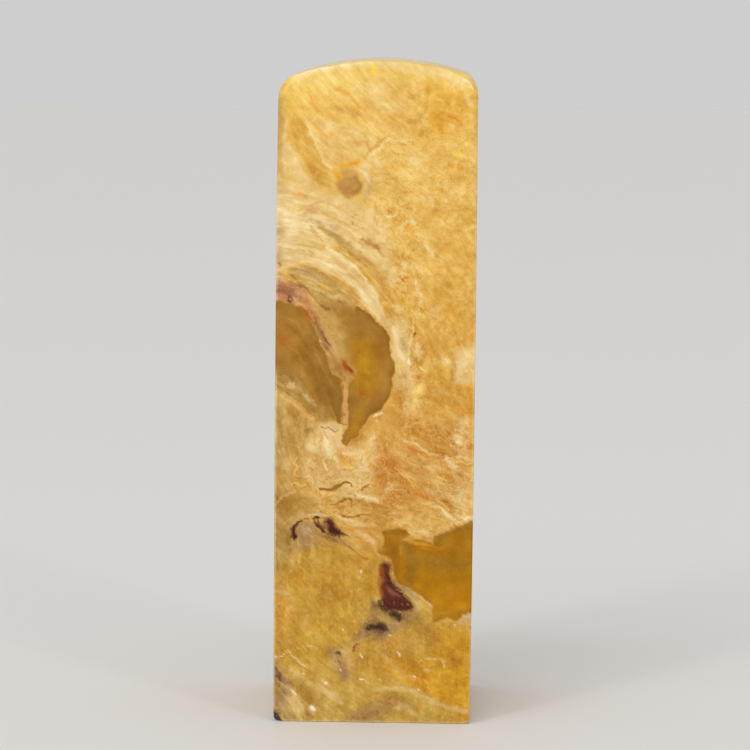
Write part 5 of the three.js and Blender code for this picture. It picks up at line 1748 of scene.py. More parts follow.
def back_markings() -> Markings:
    """What is drawn on the back face.

    Returns:
        The face's markings.
    """
    lobe = run(
        -11.4, 69, -10.4, 71.6, -7.4, 73.6, -4.4, 73.4, -2, 71.4, -0.6, 68.6, -1.2, 65, -0.2, 62, -1, 59,
        -2.6, 56.4, -4, 57, -4.6, 59.6, -7.4, 60.4, -8.4, 62.6, -10.6, 63.8, -11.2, 66.4,
    )
    amber = run(
        -6, 30.6, -3.4, 33.4, 0.4, 34.4, 3.4, 33.2, 6.6, 33.6, 8.8, 30.4, 8.4, 26.6, 9.4, 23, 6.6, 20.4,
        3.4, 20.8, 0.4, 19.4, -2.6, 21.4, -4, 25,
    )
    band = run(-16, 60, -10, 56, -3, 53.4, 4, 48, 16, 46, 16, 40, 5, 41.6, -4, 46, -11, 49.4, -16, 51)
    spots = (
        (8.6, 13.6, 0.9), (10.2, 12.2, 0.6), (6.6, 12, 0.5), (-9.6, 40.4, 0.7), (-8.2, 41.4, 0.4)
    )
    return Markings(
        face=Face.BACK,
        ground=drawn(
            *loose_streaks(Bedding.back, TINTS, 8, 120),
            Patch(BUTTER, run(-16, 101, 16, 101, 16, 94, 2, 96.6, -16, 93), 2.0, 0.6),
            Patch(GOLD, run(2, 90, 9, 92, 13, 87, 10, 82, 4, 84), 1.4, 0.6),
            Patch(SAND, band, 1.0, 0.7),
            (CREAM, run(-15, 57, -8, 53, -1, 50, 6, 45.6, 15, 43.6), 1.2, 0.7, 0.9),
            (ROSE, run(-13, 52, -7, 49.6, -1, 46.4, 5, 43), 0.7, 0.6),
            (CREAM, run(-13.4, 67, -11, 73, -6, 75, -1, 73, 0.6, 67), 0.8, 0.6, 0.9),
            Patch(APRICOT, run(-7, 38, 2, 40, 12, 38, 12, 34, 2, 36.4, -8, 34), 1.0, 0.6),
            (CREAM, run(-7, 33, -3, 36, 3, 36.4, 9, 35), 0.6, 0.7, 0.9),
            Patch(SMOKE, run(5, 11, 8, 15.4, 12, 14, 12, 10.6, 8, 9.6), 1.0, 0.75),
            Patch(BRASS, run(-16, 20, -8, 17, 0, 14, 4, 8, 2, -1, -16, -1), 2.2, 0.6),
        ),
        pockets=(Patch(OLIVE, lobe, 0.24, 1, 5), Patch(AMBER, amber, 0.22, 1, 5)),
        depths=drawn(
            Patch(BRONZE, run(-10, 70, -6, 71.6, -3.6, 68, -6, 65, -10, 66), 1.4, 0.7, 5),
            Patch(RESIN, run(-2, 25, 2, 22, 7, 23, 6, 27, 0, 28), 1.6, 0.7, 5),
            (TREACLE, run(-4, 31, 0, 32.8, 6, 32.2), 0.9, 0.6),
        ),
        inclusions=tuple(Stroke(MAROON, run(x, z), size, 0.9, 0.9) for x, z, size in spots),
        stains=drawn(
            (RUST, run(-1.2, 69, -0.6, 65, -1, 61), 0.3, 0.7, 0.9),
            (BLOOD, run(-10.6, 61.4, -9.6, 60), 0.5, 0.8, 0.9),
            (TREACLE, run(2, 45, 4, 44, 6.4, 44.4, 8.6, 43.2), 0.26, 0.9, 0.9),
            (TREACLE, run(-9, 51, -7, 50.6, -5, 51), 0.24, 0.8, 0.9),
            (UMBER, run(9, 78, 7, 74, 8, 70, 6, 66), 0.28, 0.5, 0.9),
            (CREAM, run(-12, 12, -6, 9.6, 1, 9, 6, 6), 0.35, 0.5),
        ),
        curls=(habit_area(band, 1.5, 0.5),),
        grains=(habit_area(run(1, 92, 16, 92, 16, 50, 6, 54, 1, 62), 3, 0.8),),
        veils=(habit_area(run(-16, 22, 16, 18, 16, -1, -16, -1), 2.5, 0.8),),
    )


def top_markings() -> Markings:
    """What is drawn on the arched top.

    Returns:
        The face's markings.
    """
    return Markings(
        face=Face.TOP,
        ground=drawn(
            Patch(CREAM, run(-12, -15, 4, -13, 8, -4, 2, 6, -8, 4, -13, -4), 3.0, 0.45, 4),
            (SAFFRON, run(-10, 8, -2, 10, 6, 8, 12, 2), 1.4, 0.5, 1.0, 0.3, 4),
            (GOLD, run(-13, -2, -6, 2, 2, 3, 10, -3), 1.6, 0.5, 1.0, 0.3, 4),
            (SAND, run(-8, -10, 0, -6, 9, -8), 1.2, 0.5, 1.0, 0.3, 4),
        ),
        stains=drawn(
            (TAN, run(-7, 12, -4, 6, -3, 1, 0, -3), 1.0, 0.5, 1.0, 0.4, 4),
            (CREAM, run(3, 12, 6, 6, 11, 3), 0.9, 0.5, 1.0, 0.4, 4),
        ),
        laminae=(habit_area(run(-14, -14, 6, -14, 4, 14, -14, 14), 3, 0.4),),
    )


class Bedding:
    """How the rock is layered: a smooth height, in millimetres, whose level surfaces are the beds.

    Guides say how the beds run on each face: a place, across and up, and the way they lead there.
    """

    pitch: float = 1.0
    reach: float = 4.0
    rounds: int = 400

    front: Guides = (
        (-12, 95, 0.5, -0.85), (-9, 93, 0.65, -0.75), (-3, 93, 0.6, -0.8), (-10, 86, 0.55, -0.83),
        (2, 84, 0.6, -0.8), (10, 88, 0.7, -0.7), (5, 78, 0.6, -0.8), (11, 75, 0.6, -0.8),
        (-12, 78, 0.95, 0.25), (-13, 72, 1, -0.05), (-10, 71, 0.97, -0.2), (-6, 69.5, 0.87, -0.5),
        (-3, 67, 0.75, -0.66), (-1, 64.5, 0.55, -0.83), (2.5, 59.5, 0.3, -0.95), (3.6, 54, 0, -1),
        (3.3, 50, -0.25, -0.97), (2, 47.5, -0.7, -0.7), (-0.5, 45, -0.85, -0.5), (6, 67, 0.15, -1),
        (6, 58, 0, -1), (7, 50, 0.1, -1), (11, 60, 0.3, -0.95), (11, 50, 0.3, -0.95),
        (8, 44, 0.9, -0.4), (11, 42, 0.9, -0.4), (4, 39, 0.7, -0.7), (7, 37, 0.7, -0.7),
        (12, 38, 0.85, -0.5), (8, 34.3, 1, 0), (12, 32.5, 0.8, -0.55), (0, 33, 1, 0),
        (-3, 31.6, 1, 0.05), (-2, 29, 0.95, -0.3), (-9, 40, -0.5, -0.85), (-12, 37, -0.3, -0.95),
        (-8, 23, 0.05, -1), (-3, 22, -0.1, -1), (-6, 17, -0.2, -1), (-12, 8, 0.7, -0.7),
        (-7, 6, 0.7, -0.7), (-9, 3, 0.55, -0.83), (4, 9, 0.75, -0.65), (10, 17, 0.75, -0.65),
        (10, 7, 0.85, -0.5), (12, 3, 0.9, -0.4),
    )
    back: Guides = (
        (-9, 92, 0.5, 0.85), (6, 88, 0.6, 0.8), (0, 74, 0.8, 0.5), (-8, 62, 0.4, 0.9),
        (8, 66, 0.7, 0.7), (4, 52, 0.9, 0.3), (-6, 44, 0.6, 0.8), (6, 34, 0.4, 0.9),
        (-8, 28, 0.9, 0.2), (0, 18, 0.6, 0.8), (8, 8, 0.8, 0.6),
    )
    left: Guides = (
        (-8, 90, 0.8, 0.6), (4, 80, 0.9, 0.4), (-6, 66, 1, 0.1), (5, 55, 0.8, 0.6),
        (-5, 42, 0.6, 0.8), (8, 34, 0.9, 0.4), (-6, 22, 0.9, -0.2), (0, 8, 0.8, 0.6),
    )
    right: Guides = (
        (-8, 88, 0.8, -0.6), (6, 80, 0.9, -0.3), (-4, 65, 0.6, -0.8), (8, 55, 1, -0.1),
        (-6, 42, 0.8, -0.6), (6, 30, 0.9, 0.2), (-4, 15, 0.8, -0.5), (8, 8, 0.6, -0.8),
    )

    def __init__(self, block: Block) -> None:
        """Works out the height on a coarse grid.

        Args:
            block: the block that the beds run through.
        """
        self.low = np.array([-block.half, -block.depth / 2, 0.0])
        size = np.array([block.width, block.depth, block.height])
        self.counts = np.rint(size / self.pitch).astype(int) + 1
        steps = [np.arange(count) * self.pitch for count in self.counts]
        grid = np.stack(np.meshgrid(*steps, indexing="ij"), -1) + self.low
        self.height = self.solve(self.blend(grid.reshape(-1, 3), *self.guides(block)))

    def guides(self, block: Block) -> tuple[Array, Array]:
        """Places in the block, with the direction that the beds face at each.

        Args:
            block: the block.

        Returns:
            The places, and the directions.
        """
        places, directions = [], []
        faces = (
            (Face.FRONT, self.front),
            (Face.BACK, self.back),
            (Face.LEFT, self.left),
            (Face.RIGHT, self.right),
        )
        for face, guides in faces:
            across, up, inward = (np.array(axis, float) for axis in face.value)
            deeper = inward - Sheet.lean[0] * across - Sheet.lean[1] * up
            for a, b, lead_across, lead_up in guides:
                places.append(a * across + b * up - block.depth / 2 * inward)
                facing = np.cross(lead_across * across + lead_up * up, deeper)
                directions.append(facing / np.linalg.norm(facing))
        return np.array(places), np.array(directions)

    def blend(self, grid: Array, places: Array, directions: Array) -> Array:
        """The direction that the beds face at every grid place.

        Args:
            grid: the grid places.
            places: where the directions are known.
            directions: the known directions.

        Returns:
            Directions, shorter where neighbouring beds disagree.
        """
        total = np.zeros_like(grid)
        weights = np.zeros(len(grid))
        for place, direction in zip(places, directions):
            weight = 1 / (1 + np.sum((grid - place) ** 2, axis=1) / self.reach**2) ** 2
            total += weight[:, None] * direction
            weights += weight
        return (total / weights[:, None]).reshape(*self.counts, 3)

    def solve(self, facing: Array) -> Array:
        """The height whose slope follows the directions most closely, by conjugate gradients.

        Args:
            facing: the directions on the grid.

        Returns:
            The height at every grid place.
        """
        slopes = []
        for axis in range(3):
            ahead = np.take(facing[..., axis], range(1, self.counts[axis]), axis)
            behind = np.take(facing[..., axis], range(self.counts[axis] - 1), axis)
            slopes.append((ahead + behind) / 2 * self.pitch)
        height = np.zeros(self.counts)
        rest = self.gather(slopes)
        push = rest.copy()
        size = np.sum(rest**2)
        for _ in range(self.rounds):
            pull = self.gather([np.diff(push, axis=axis) for axis in range(3)])
            step = size / np.sum(push * pull)
            height += step * push
            rest -= step * pull
            fresh = np.sum(rest**2)
            push = rest + fresh / size * push
            size = fresh
        return height

    def gather(self, flows: list[Array]) -> Array:
        """Adds up what flows into each grid place from its neighbours.

        Args:
            flows: the flow between neighbours, one array for each axis.

        Returns:
            The sums.
        """
        total = np.zeros(self.counts)
        for axis, flow in enumerate(flows):
            pad = [(0, 0)] * 3
            pad[axis] = (1, 1)
            total -= np.diff(np.pad(flow, pad), axis=axis)
        return total

    def at(self, place: Array) -> Array:
        """The height at any places.

        Args:
            place: the places, in millimetres.

        Returns:
            The heights.
        """
        cell = np.clip((place - self.low) / self.pitch, 0, self.counts - 1.001)
        low = cell.astype(int)
        part = cell - low
        total = np.zeros(len(place))
        for corner in np.ndindex(2, 2, 2):
            weight = np.prod(np.where(corner, part, 1 - part), axis=1)
            i, j, k = (low + corner).T
            total += weight * self.height[i, j, k]
        return total


class Rock:
    """What the rock is made of at every vertex, with the painted light laid into its tint, kept as
    attributes that the material reads.
    """

    # Tints by height from the foot up; their paling towards the top is partly the rock's colour and
    # partly painted light.
    tints_by_height: tuple[tuple[float, str], ...] = (
        (0, "C6A452"),
        (12, "C9A042"),
        (24, "C9A146"),
        (31, "CFA455"),
        (40, "D2A254"),
        (50, "D5A64E"),
        (62, "DBAE56"),
        (72, "E0B660"),
        (84, "E6BF6A"),
        (92, "E8BF64"),
        (100, "F0CE78"),
    )
    common_habit: tuple[float, float, float, float] = (0.35, 0.12, 0.35, 0.0)
    # How strong the painted shade inside the clear stone's crisp rims is.
    painted_rim_shade: float = 0.35
    # The painted highlight along the block's edges, and the distances in millimetres over which it fades
    # in.
    painted_edge_highlight: float = 0.5
    edge_highlight_width: tuple[float, float] = (0.42, 0.12)
    tint_drift: float = 2.5

    def __init__(self, block: Block, faces: tuple[Markings, ...]) -> None:
        """Keeps what is drawn.

        Args:
            block: the block.
            faces: the marks on each face.
        """
        self.block = block
        self.faces = faces
        self.bedding = Bedding(block)

    def crisp(self, place: Array) -> Array:
        """Where the marks need the finest mesh.

        Args:
            place: the places, in millimetres.

        Returns:
            Yes or no for each place.
        """
        fine = np.zeros(len(place), bool)
        for marks in self.faces:
            fine |= marks.crisp(Sheet(marks.face, self.block, place))
        return fine

    def ground(self, place: Array) -> Array:
        """The rock's tint, which turns from lemon at the top to brass at the foot; the paler top is
        partly the rock's colour and partly painted light.

        Args:
            place: the places, in millimetres.

        Returns:
            Linear colours.
        """
        height = place[:, 2] + self.tint_drift * cloud(place, 9, 11)
        levels = [level for level, _ in self.tints_by_height]
        tints = np.array([linear(code) for _, code in self.tints_by_height])
        return np.stack([np.interp(height, levels, tint) for tint in tints.T], -1)

    def fill(self, mesh: bpy.types.Mesh, place: Array) -> None:
        """Writes every attribute.

        Args:
            mesh: the mesh that gets them.
            place: its vertices, in millimetres.
        """
        count = len(place)
        ground = Layer(count, self.ground(place))
        depths = Layer(count, np.tile(linear(OLIVE.value), (count, 1)))
        rim = np.zeros(count)
        inclusions, stains = Layer(count), Layer(count)
        pocket = np.zeros(count)
        habits = np.tile(self.common_habit, (count, 1))
        for marks in self.faces:
            sheet = Sheet(marks.face, self.block, place)
            ground.draw(sheet, marks.ground)
            for mark in marks.pockets:
                where = sheet.near(mark)
                share = mark.cover(sheet.at[where], sheet.below[where])
                depths.lay(where, mark.hue, share)
                edge = mark.rim(sheet.at[where]) * (1 - pocket[where])
                rim[where] = np.maximum(rim[where], edge)
                pocket[where] = np.maximum(pocket[where], share)
            depths.draw(sheet, marks.depths)
            # Painted shade: umber laid inside the crisp rims of the clear stone, as if the crust beside
            # it shaded them.
            depths.lay(np.arange(count), UMBER, self.painted_rim_shade * rim)
            inclusions.draw(sheet, marks.inclusions)
            stains.draw(sheet, marks.stains)
            for column, group in enumerate((marks.laminae, marks.curls, marks.grains, marks.veils)):
                for mark in group:
                    where = sheet.near(mark)
                    share = mark.cover(sheet.at[where], sheet.below[where])
                    habits[where, column] += (1 - habits[where, column]) * share
        # Painted highlight: cream laid over the ground within a fraction of a millimetre of the block's
        # edges.
        margin, _ = self.block.margin(place[:, 0], place[:, 2])
        gap = self.block.depth / 2 - np.abs(place[:, 1])
        thin = ease(*self.edge_highlight_width, np.maximum(margin, gap))
        ground.lay(np.arange(count), CREAM, self.painted_edge_highlight * thin)
        self.write(mesh, "ground", ground.colour)
        self.write(mesh, "depths", depths.colour, pocket)
        self.write(mesh, "inclusions", inclusions.colour, inclusions.cover)
        self.write(mesh, "stains", stains.colour, stains.cover)
        self.write(mesh, "habits", habits[:, :3], habits[:, 3])
        bed = mesh.attributes.new("bed", "FLOAT", "POINT")
        bed.data.foreach_set("value", self.bedding.at(place).astype(np.float32))

    @staticmethod
    def write(mesh: bpy.types.Mesh, name: str, colour: Array, cover: Array | None = None) -> None:
        """Writes one attribute of four numbers a vertex.

        Args:
            mesh: the mesh.
            name: the attribute's name.
            colour: three numbers for each vertex.
            cover: the fourth number, or nothing for 1.
        """
        last = np.ones(len(colour)) if cover is None else cover
        values = np.concatenate([colour, last[:, None]], axis=1).astype(np.float32)
        mesh.attributes.new(name, "FLOAT_COLOR", "POINT").data.foreach_set("color", values.ravel())


class StoneMesh:
    """The block as a closed lattice of small quads, finer beside its edges and under fine marks.

    It starts as a cube of size 1 about the origin, whose middle lies half its size from each side.
    """

    middle: float = 0.5
    columns: int = 56
    rows: int = 182
    layers: int = 50
    edge_lines: tuple[float, ...] = (0.0, 0.14, 0.32, 0.56, 0.88, 1.3)
    chip_reach: float = 1.25
    chip_radius: float = 2.6
    barrel: float = 0.12
    belly: float = 0.98
    belly_end: float = 0.93

    def __init__(self, block: Block, rock: Rock) -> None:
        """Keeps what the mesh follows.

        Args:
            block: the outline and edges.
            rock: what is drawn on the faces.
        """
        self.block = block
        self.rock = rock

    def build(self, name: str) -> bpy.types.Object:
        """Makes the mesh, in millimetres about the block's own origin.

        Args:
            name: the piece's name.

        Returns:
            The new object, linked to the scene.
        """
        bm = bmesh.new()
        bmesh.ops.create_cube(bm, size=1)
        for axis, pieces in enumerate((self.columns, self.layers, self.rows)):
            along = [e for e in bm.edges if abs((e.verts[1].co - e.verts[0].co)[axis]) > self.middle]
            bmesh.ops.subdivide_edges(bm, edges=along, cuts=pieces - 1, use_grid_fill=True)
        self.refine(bm, lambda share, place: share[:, 1] < FAINT)
        self.refine(bm, lambda share, place: self.rock.crisp(place))
        mesh = bpy.data.meshes.new(name)
        bm.to_mesh(mesh)
        bm.free()
        share = np.empty(len(mesh.vertices) * 3)
        mesh.vertices.foreach_get("co", share)
        place = self.shape(share.reshape(-1, 3) + self.middle)
        self.rock.fill(mesh, place)
        mesh.vertices.foreach_set("co", place.ravel())
        mesh.shade_smooth()
        mesh.update()
        piece = bpy.data.objects.new(name, mesh)
        bpy.context.scene.collection.objects.link(piece)
        return piece

    def refine(self, bm: bmesh.types.BMesh, wanted: Callable[[Array, Array], Array]) -> None:
        """Splits the quads that need a finer mesh into four.

        Args:
            bm: the lattice, in even shares of the block's box.
            wanted: says which faces need it, from the shares and places of their middles.
        """
        share = np.array([face.calc_center_median() for face in bm.faces]) + self.middle
        chosen = wanted(share, self.shape(share))
        faces = [face for face, fine in zip(bm.faces, chosen) if fine and len(face.verts) == 4]
        edges = list({edge for face in faces for edge in face.edges})
        bmesh.ops.subdivide_edges(bm, edges=edges, cuts=1, use_grid_fill=True)

    def spread(self, share: Array, pieces: int, length: float) -> Array:
        """Places of lattice lines along one axis, close together at both ends.

        Args:
            share: each line's even place, from 0 to 1.
            pieces: how many gaps there are before any is refined.
            length: the block's length along the axis.

        Returns:
            Places from 0 to length.
        """
        close = np.array(self.edge_lines)
        plain = np.linspace(close[-1], length - close[-1], pieces - 2 * len(close) + 3)
        lines = np.concatenate([close[:-1], plain, length - close[-2::-1]])
        return np.interp(share * pieces, np.arange(pieces + 1), lines)

    def shape(self, share: Array) -> Array:
        """Bends the even lattice to the block.

        Args:
            share: every vertex's even place in the block's box, from 0 to 1.

        Returns:
            Vertices in millimetres.
        """
        block = self.block
        x = self.spread(share[:, 0], self.columns, block.width) - block.half
        y = self.spread(share[:, 1], self.layers, block.depth) - block.depth / 2
        z = self.spread(share[:, 2], self.rows, block.height)
        foot, top = block.foot_at(x), block.top_at(x)
        z = foot + z / block.height * (top - foot)
        margin, out = block.margin(x, z)
        edge = block.edge_at(x, z, out)
        # Both gaps are zero on the line where a flat face and the outline would meet.
        gap = block.depth / 2 - np.abs(y)
        across, deep = np.clip(edge - margin, 0, None), np.clip(edge - gap, 0, None)
        span = np.hypot(across, deep)
        rounded = (across > 0) & (deep > 0)
        scale = np.where(rounded, edge / np.maximum(span, TINY), 1)
        inward = np.where(rounded, edge - across * scale - margin, 0)
        back = np.where(rounded, edge - deep * scale - gap, 0)
        bent = [x - out[:, 0] * inward, y - np.sign(y) * back, z - out[:, 1] * inward]
        return self.wear(np.stack(bent, -1))

    def wear(self, place: Array) -> Array:
        """Gives the ground sides their faint belly, and breaks the corner that is chipped.

        Args:
            place: vertices of the true block.

        Returns:
            The vertices as hand work left them.
        """
        block = self.block
        rise = place[:, 2] / block.height
        held = 1 - ease(self.belly_end, 1, rise)
        slim = 1 - self.barrel / block.half * (2 * rise - self.belly) ** 2 * held
        place = place * np.stack([slim, slim, np.ones_like(slim)], -1)
        corner = np.array([-block.half, -block.depth / 2, 0]) * slim.min()
        along = self.chip_reach / math.sqrt(3)
        away = math.sqrt(self.chip_radius**2 - self.chip_reach**2 + along**2) - along
        centre = corner - away / math.sqrt(3)
        arm = place - centre
        length = np.linalg.norm(arm, axis=1)
        broken = length < self.chip_radius
        place[broken] = centre + arm[broken] * (self.chip_radius / length[broken])[:, None]
        return place


class Wiring:
    """Adds nodes to a tree and links them, so that a material reads as a list of steps."""

    def __init__(self, tree: bpy.types.NodeTree) -> None:
        """Keeps the tree."""
        self.tree = tree

    def feed(self, socket: Socket, value: Given) -> None:
        """Links a socket to another node's output, or sets its value.

        Args:
            socket: the input.
            value: what it gets, or nothing to leave it.
        """
        if isinstance(value, Socket):
            self.tree.links.new(value, socket)
        elif value is not None:
            socket.default_value = value

    def add(self, kind: str, inputs: dict[str | int, Given], **settings: str | bool) -> bpy.types.Node:
        """Adds a shader node.

        Args:
            kind: the node's type.
            inputs: what each input gets, by name or number.
            **settings: the node's own options.

        Returns:
            The node.
        """
        node = self.tree.nodes.new("ShaderNode" + kind)
        for name, value in settings.items():
            setattr(node, name, value)
        for key, value in inputs.items():
            self.feed(node.inputs[key], value)
        return node

    def maths(
        self, operation: str, a: Given, b: Given = None, c: Given = None, clamp: bool = False
    ) -> Socket:
        """One sum of two or three values."""
        inputs = {0: a, 1: b, 2: c}
        return self.add("Math", inputs, operation=operation, use_clamp=clamp).outputs[0]

    def swing(self, value: Socket, amount: float, by: Socket | float = 1.0) -> Socket:
        """Turns noise from 0 to 1 into a swing about zero."""
        centred = self.maths("SUBTRACT", value, 0.5)
        return self.maths("MULTIPLY", self.maths("MULTIPLY", centred, amount), by)

    def step(self, value: Socket, low: float, high: float) -> Socket:
        """A soft step from 0 at low to 1 at high."""
        inputs = {"Value": value, "From Min": low, "From Max": high}
        return self.add("MapRange", inputs, interpolation_type="SMOOTHSTEP").outputs[0]

    def noise(
        self, place: Socket, scale: float, detail: Given, rough: float, w: Given = None
    ) -> Socket:
        """Smooth noise from 0 to 1.

        Args:
            place: where it is read.
            scale: how many lumps there are to a millimetre.
            detail: how many finer layers lie over them.
            rough: how strong those are.
            w: the place along a fourth axis, or nothing for plain noise.

        Returns:
            The noise.
        """
        inputs = {"Vector": place, "Scale": scale, "Detail": detail, "Roughness": rough}
        if w is None:
            return self.add("TexNoise", inputs).outputs[0]
        return self.add("TexNoise", {**inputs, "W": w}, noise_dimensions="4D").outputs[0]

    def mix(self, share: Given, a: Given, b: Given) -> Socket:
        """Mixes two colours."""
        return self.add("Mix", {0: share, 6: a, 7: b}, data_type="RGBA").outputs[2]

    def group(self, tree: bpy.types.NodeTree, inputs: dict[str, Given]) -> bpy.types.Node:
        """Places a node group.

        Args:
            tree: the group.
            inputs: what each of its inputs gets.

        Returns:
            The node.
        """
        node = self.tree.nodes.new("ShaderNodeGroup")
        node.node_tree = tree
        for name, value in inputs.items():
            self.feed(node.inputs[name], value)
        return node


def node_group(name: str, inputs: Iterable[str], outputs: Iterable[str]) -> bpy.types.NodeTree:
    """Starts a shader node group that is given a place and some numbers.

    Args:
        name: the group's name.
        inputs: its number inputs.
        outputs: its number outputs.

    Returns:
        The group, with its input and output nodes.
    """
    tree = bpy.data.node_groups.new(name, "ShaderNodeTree")
    tree.interface.new_socket("Place", in_out="INPUT", socket_type="NodeSocketVector")
    for socket in inputs:
        tree.interface.new_socket(socket, in_out="INPUT", socket_type="NodeSocketFloat")
    for socket in outputs:
        tree.interface.new_socket(socket, in_out="OUTPUT", socket_type="NodeSocketFloat")
    tree.nodes.new("NodeGroupInput")
    tree.nodes.new("NodeGroupOutput")
    return tree


def bedded_noise() -> bpy.types.NodeTree:
    """Noise drawn out along the beds, as in a rock that was squeezed.

    Returns:
        The group.
    """
    tree = node_group("bedded_noise", ("Bed", "Across", "Along", "Detail", "Seed"), ("Value",))
    wires = Wiring(tree)
    given = tree.nodes["Group Input"].outputs
    x, y, z = wires.add("SeparateXYZ", {0: given["Place"]}).outputs
    stretched = wires.add(
        "CombineXYZ",
        {
            0: wires.maths("DIVIDE", given["Bed"], given["Across"]),
            1: wires.maths("DIVIDE", x, given["Along"]),
            2: wires.maths("DIVIDE", z, given["Along"]),
        },
    ).outputs[0]
    deep = wires.maths("ADD", wires.maths("DIVIDE", y, given["Along"]), given["Seed"])
    value = wires.noise(stretched, 1, given["Detail"], 0.55, deep)
    wires.feed(tree.nodes["Group Output"].inputs["Value"], value)
    return tree


def felt_threads(bedded: bpy.types.NodeTree) -> bpy.types.NodeTree:
    """Pale and dark threads that wander along the beds, as in matted felt.

    Args:
        bedded: the bedded noise that the threads follow.

    Returns:
        The group.
    """
    names = ("Tone", "Pale", "Dark")
    tree = node_group("felt_threads", ("Bed", "Across", "Along", "Width", "Seed"), names)
    wires = Wiring(tree)
    given = tree.nodes["Group Input"].outputs
    wander = wires.noise(given["Place"], 0.6, 2, 0.5, given["Seed"])
    bent = wires.maths("ADD", given["Bed"], wires.swing(wander, 3.0))
    inputs = {name: given[name] for name in ("Place", "Across", "Along", "Seed")}
    fabric = wires.group(bedded, {**inputs, "Bed": bent, "Detail": 1}).outputs[0]
    outputs = tree.nodes["Group Output"].inputs
    wires.feed(outputs["Tone"], fabric)
    for name, level in (("Pale", 0.53), ("Dark", 0.45)):
        gap = wires.maths("ABSOLUTE", wires.maths("SUBTRACT", fabric, level))
        share = wires.maths("DIVIDE", gap, given["Width"])
        wires.feed(outputs[name], wires.step(share, 1.0, 0.0))
    return tree


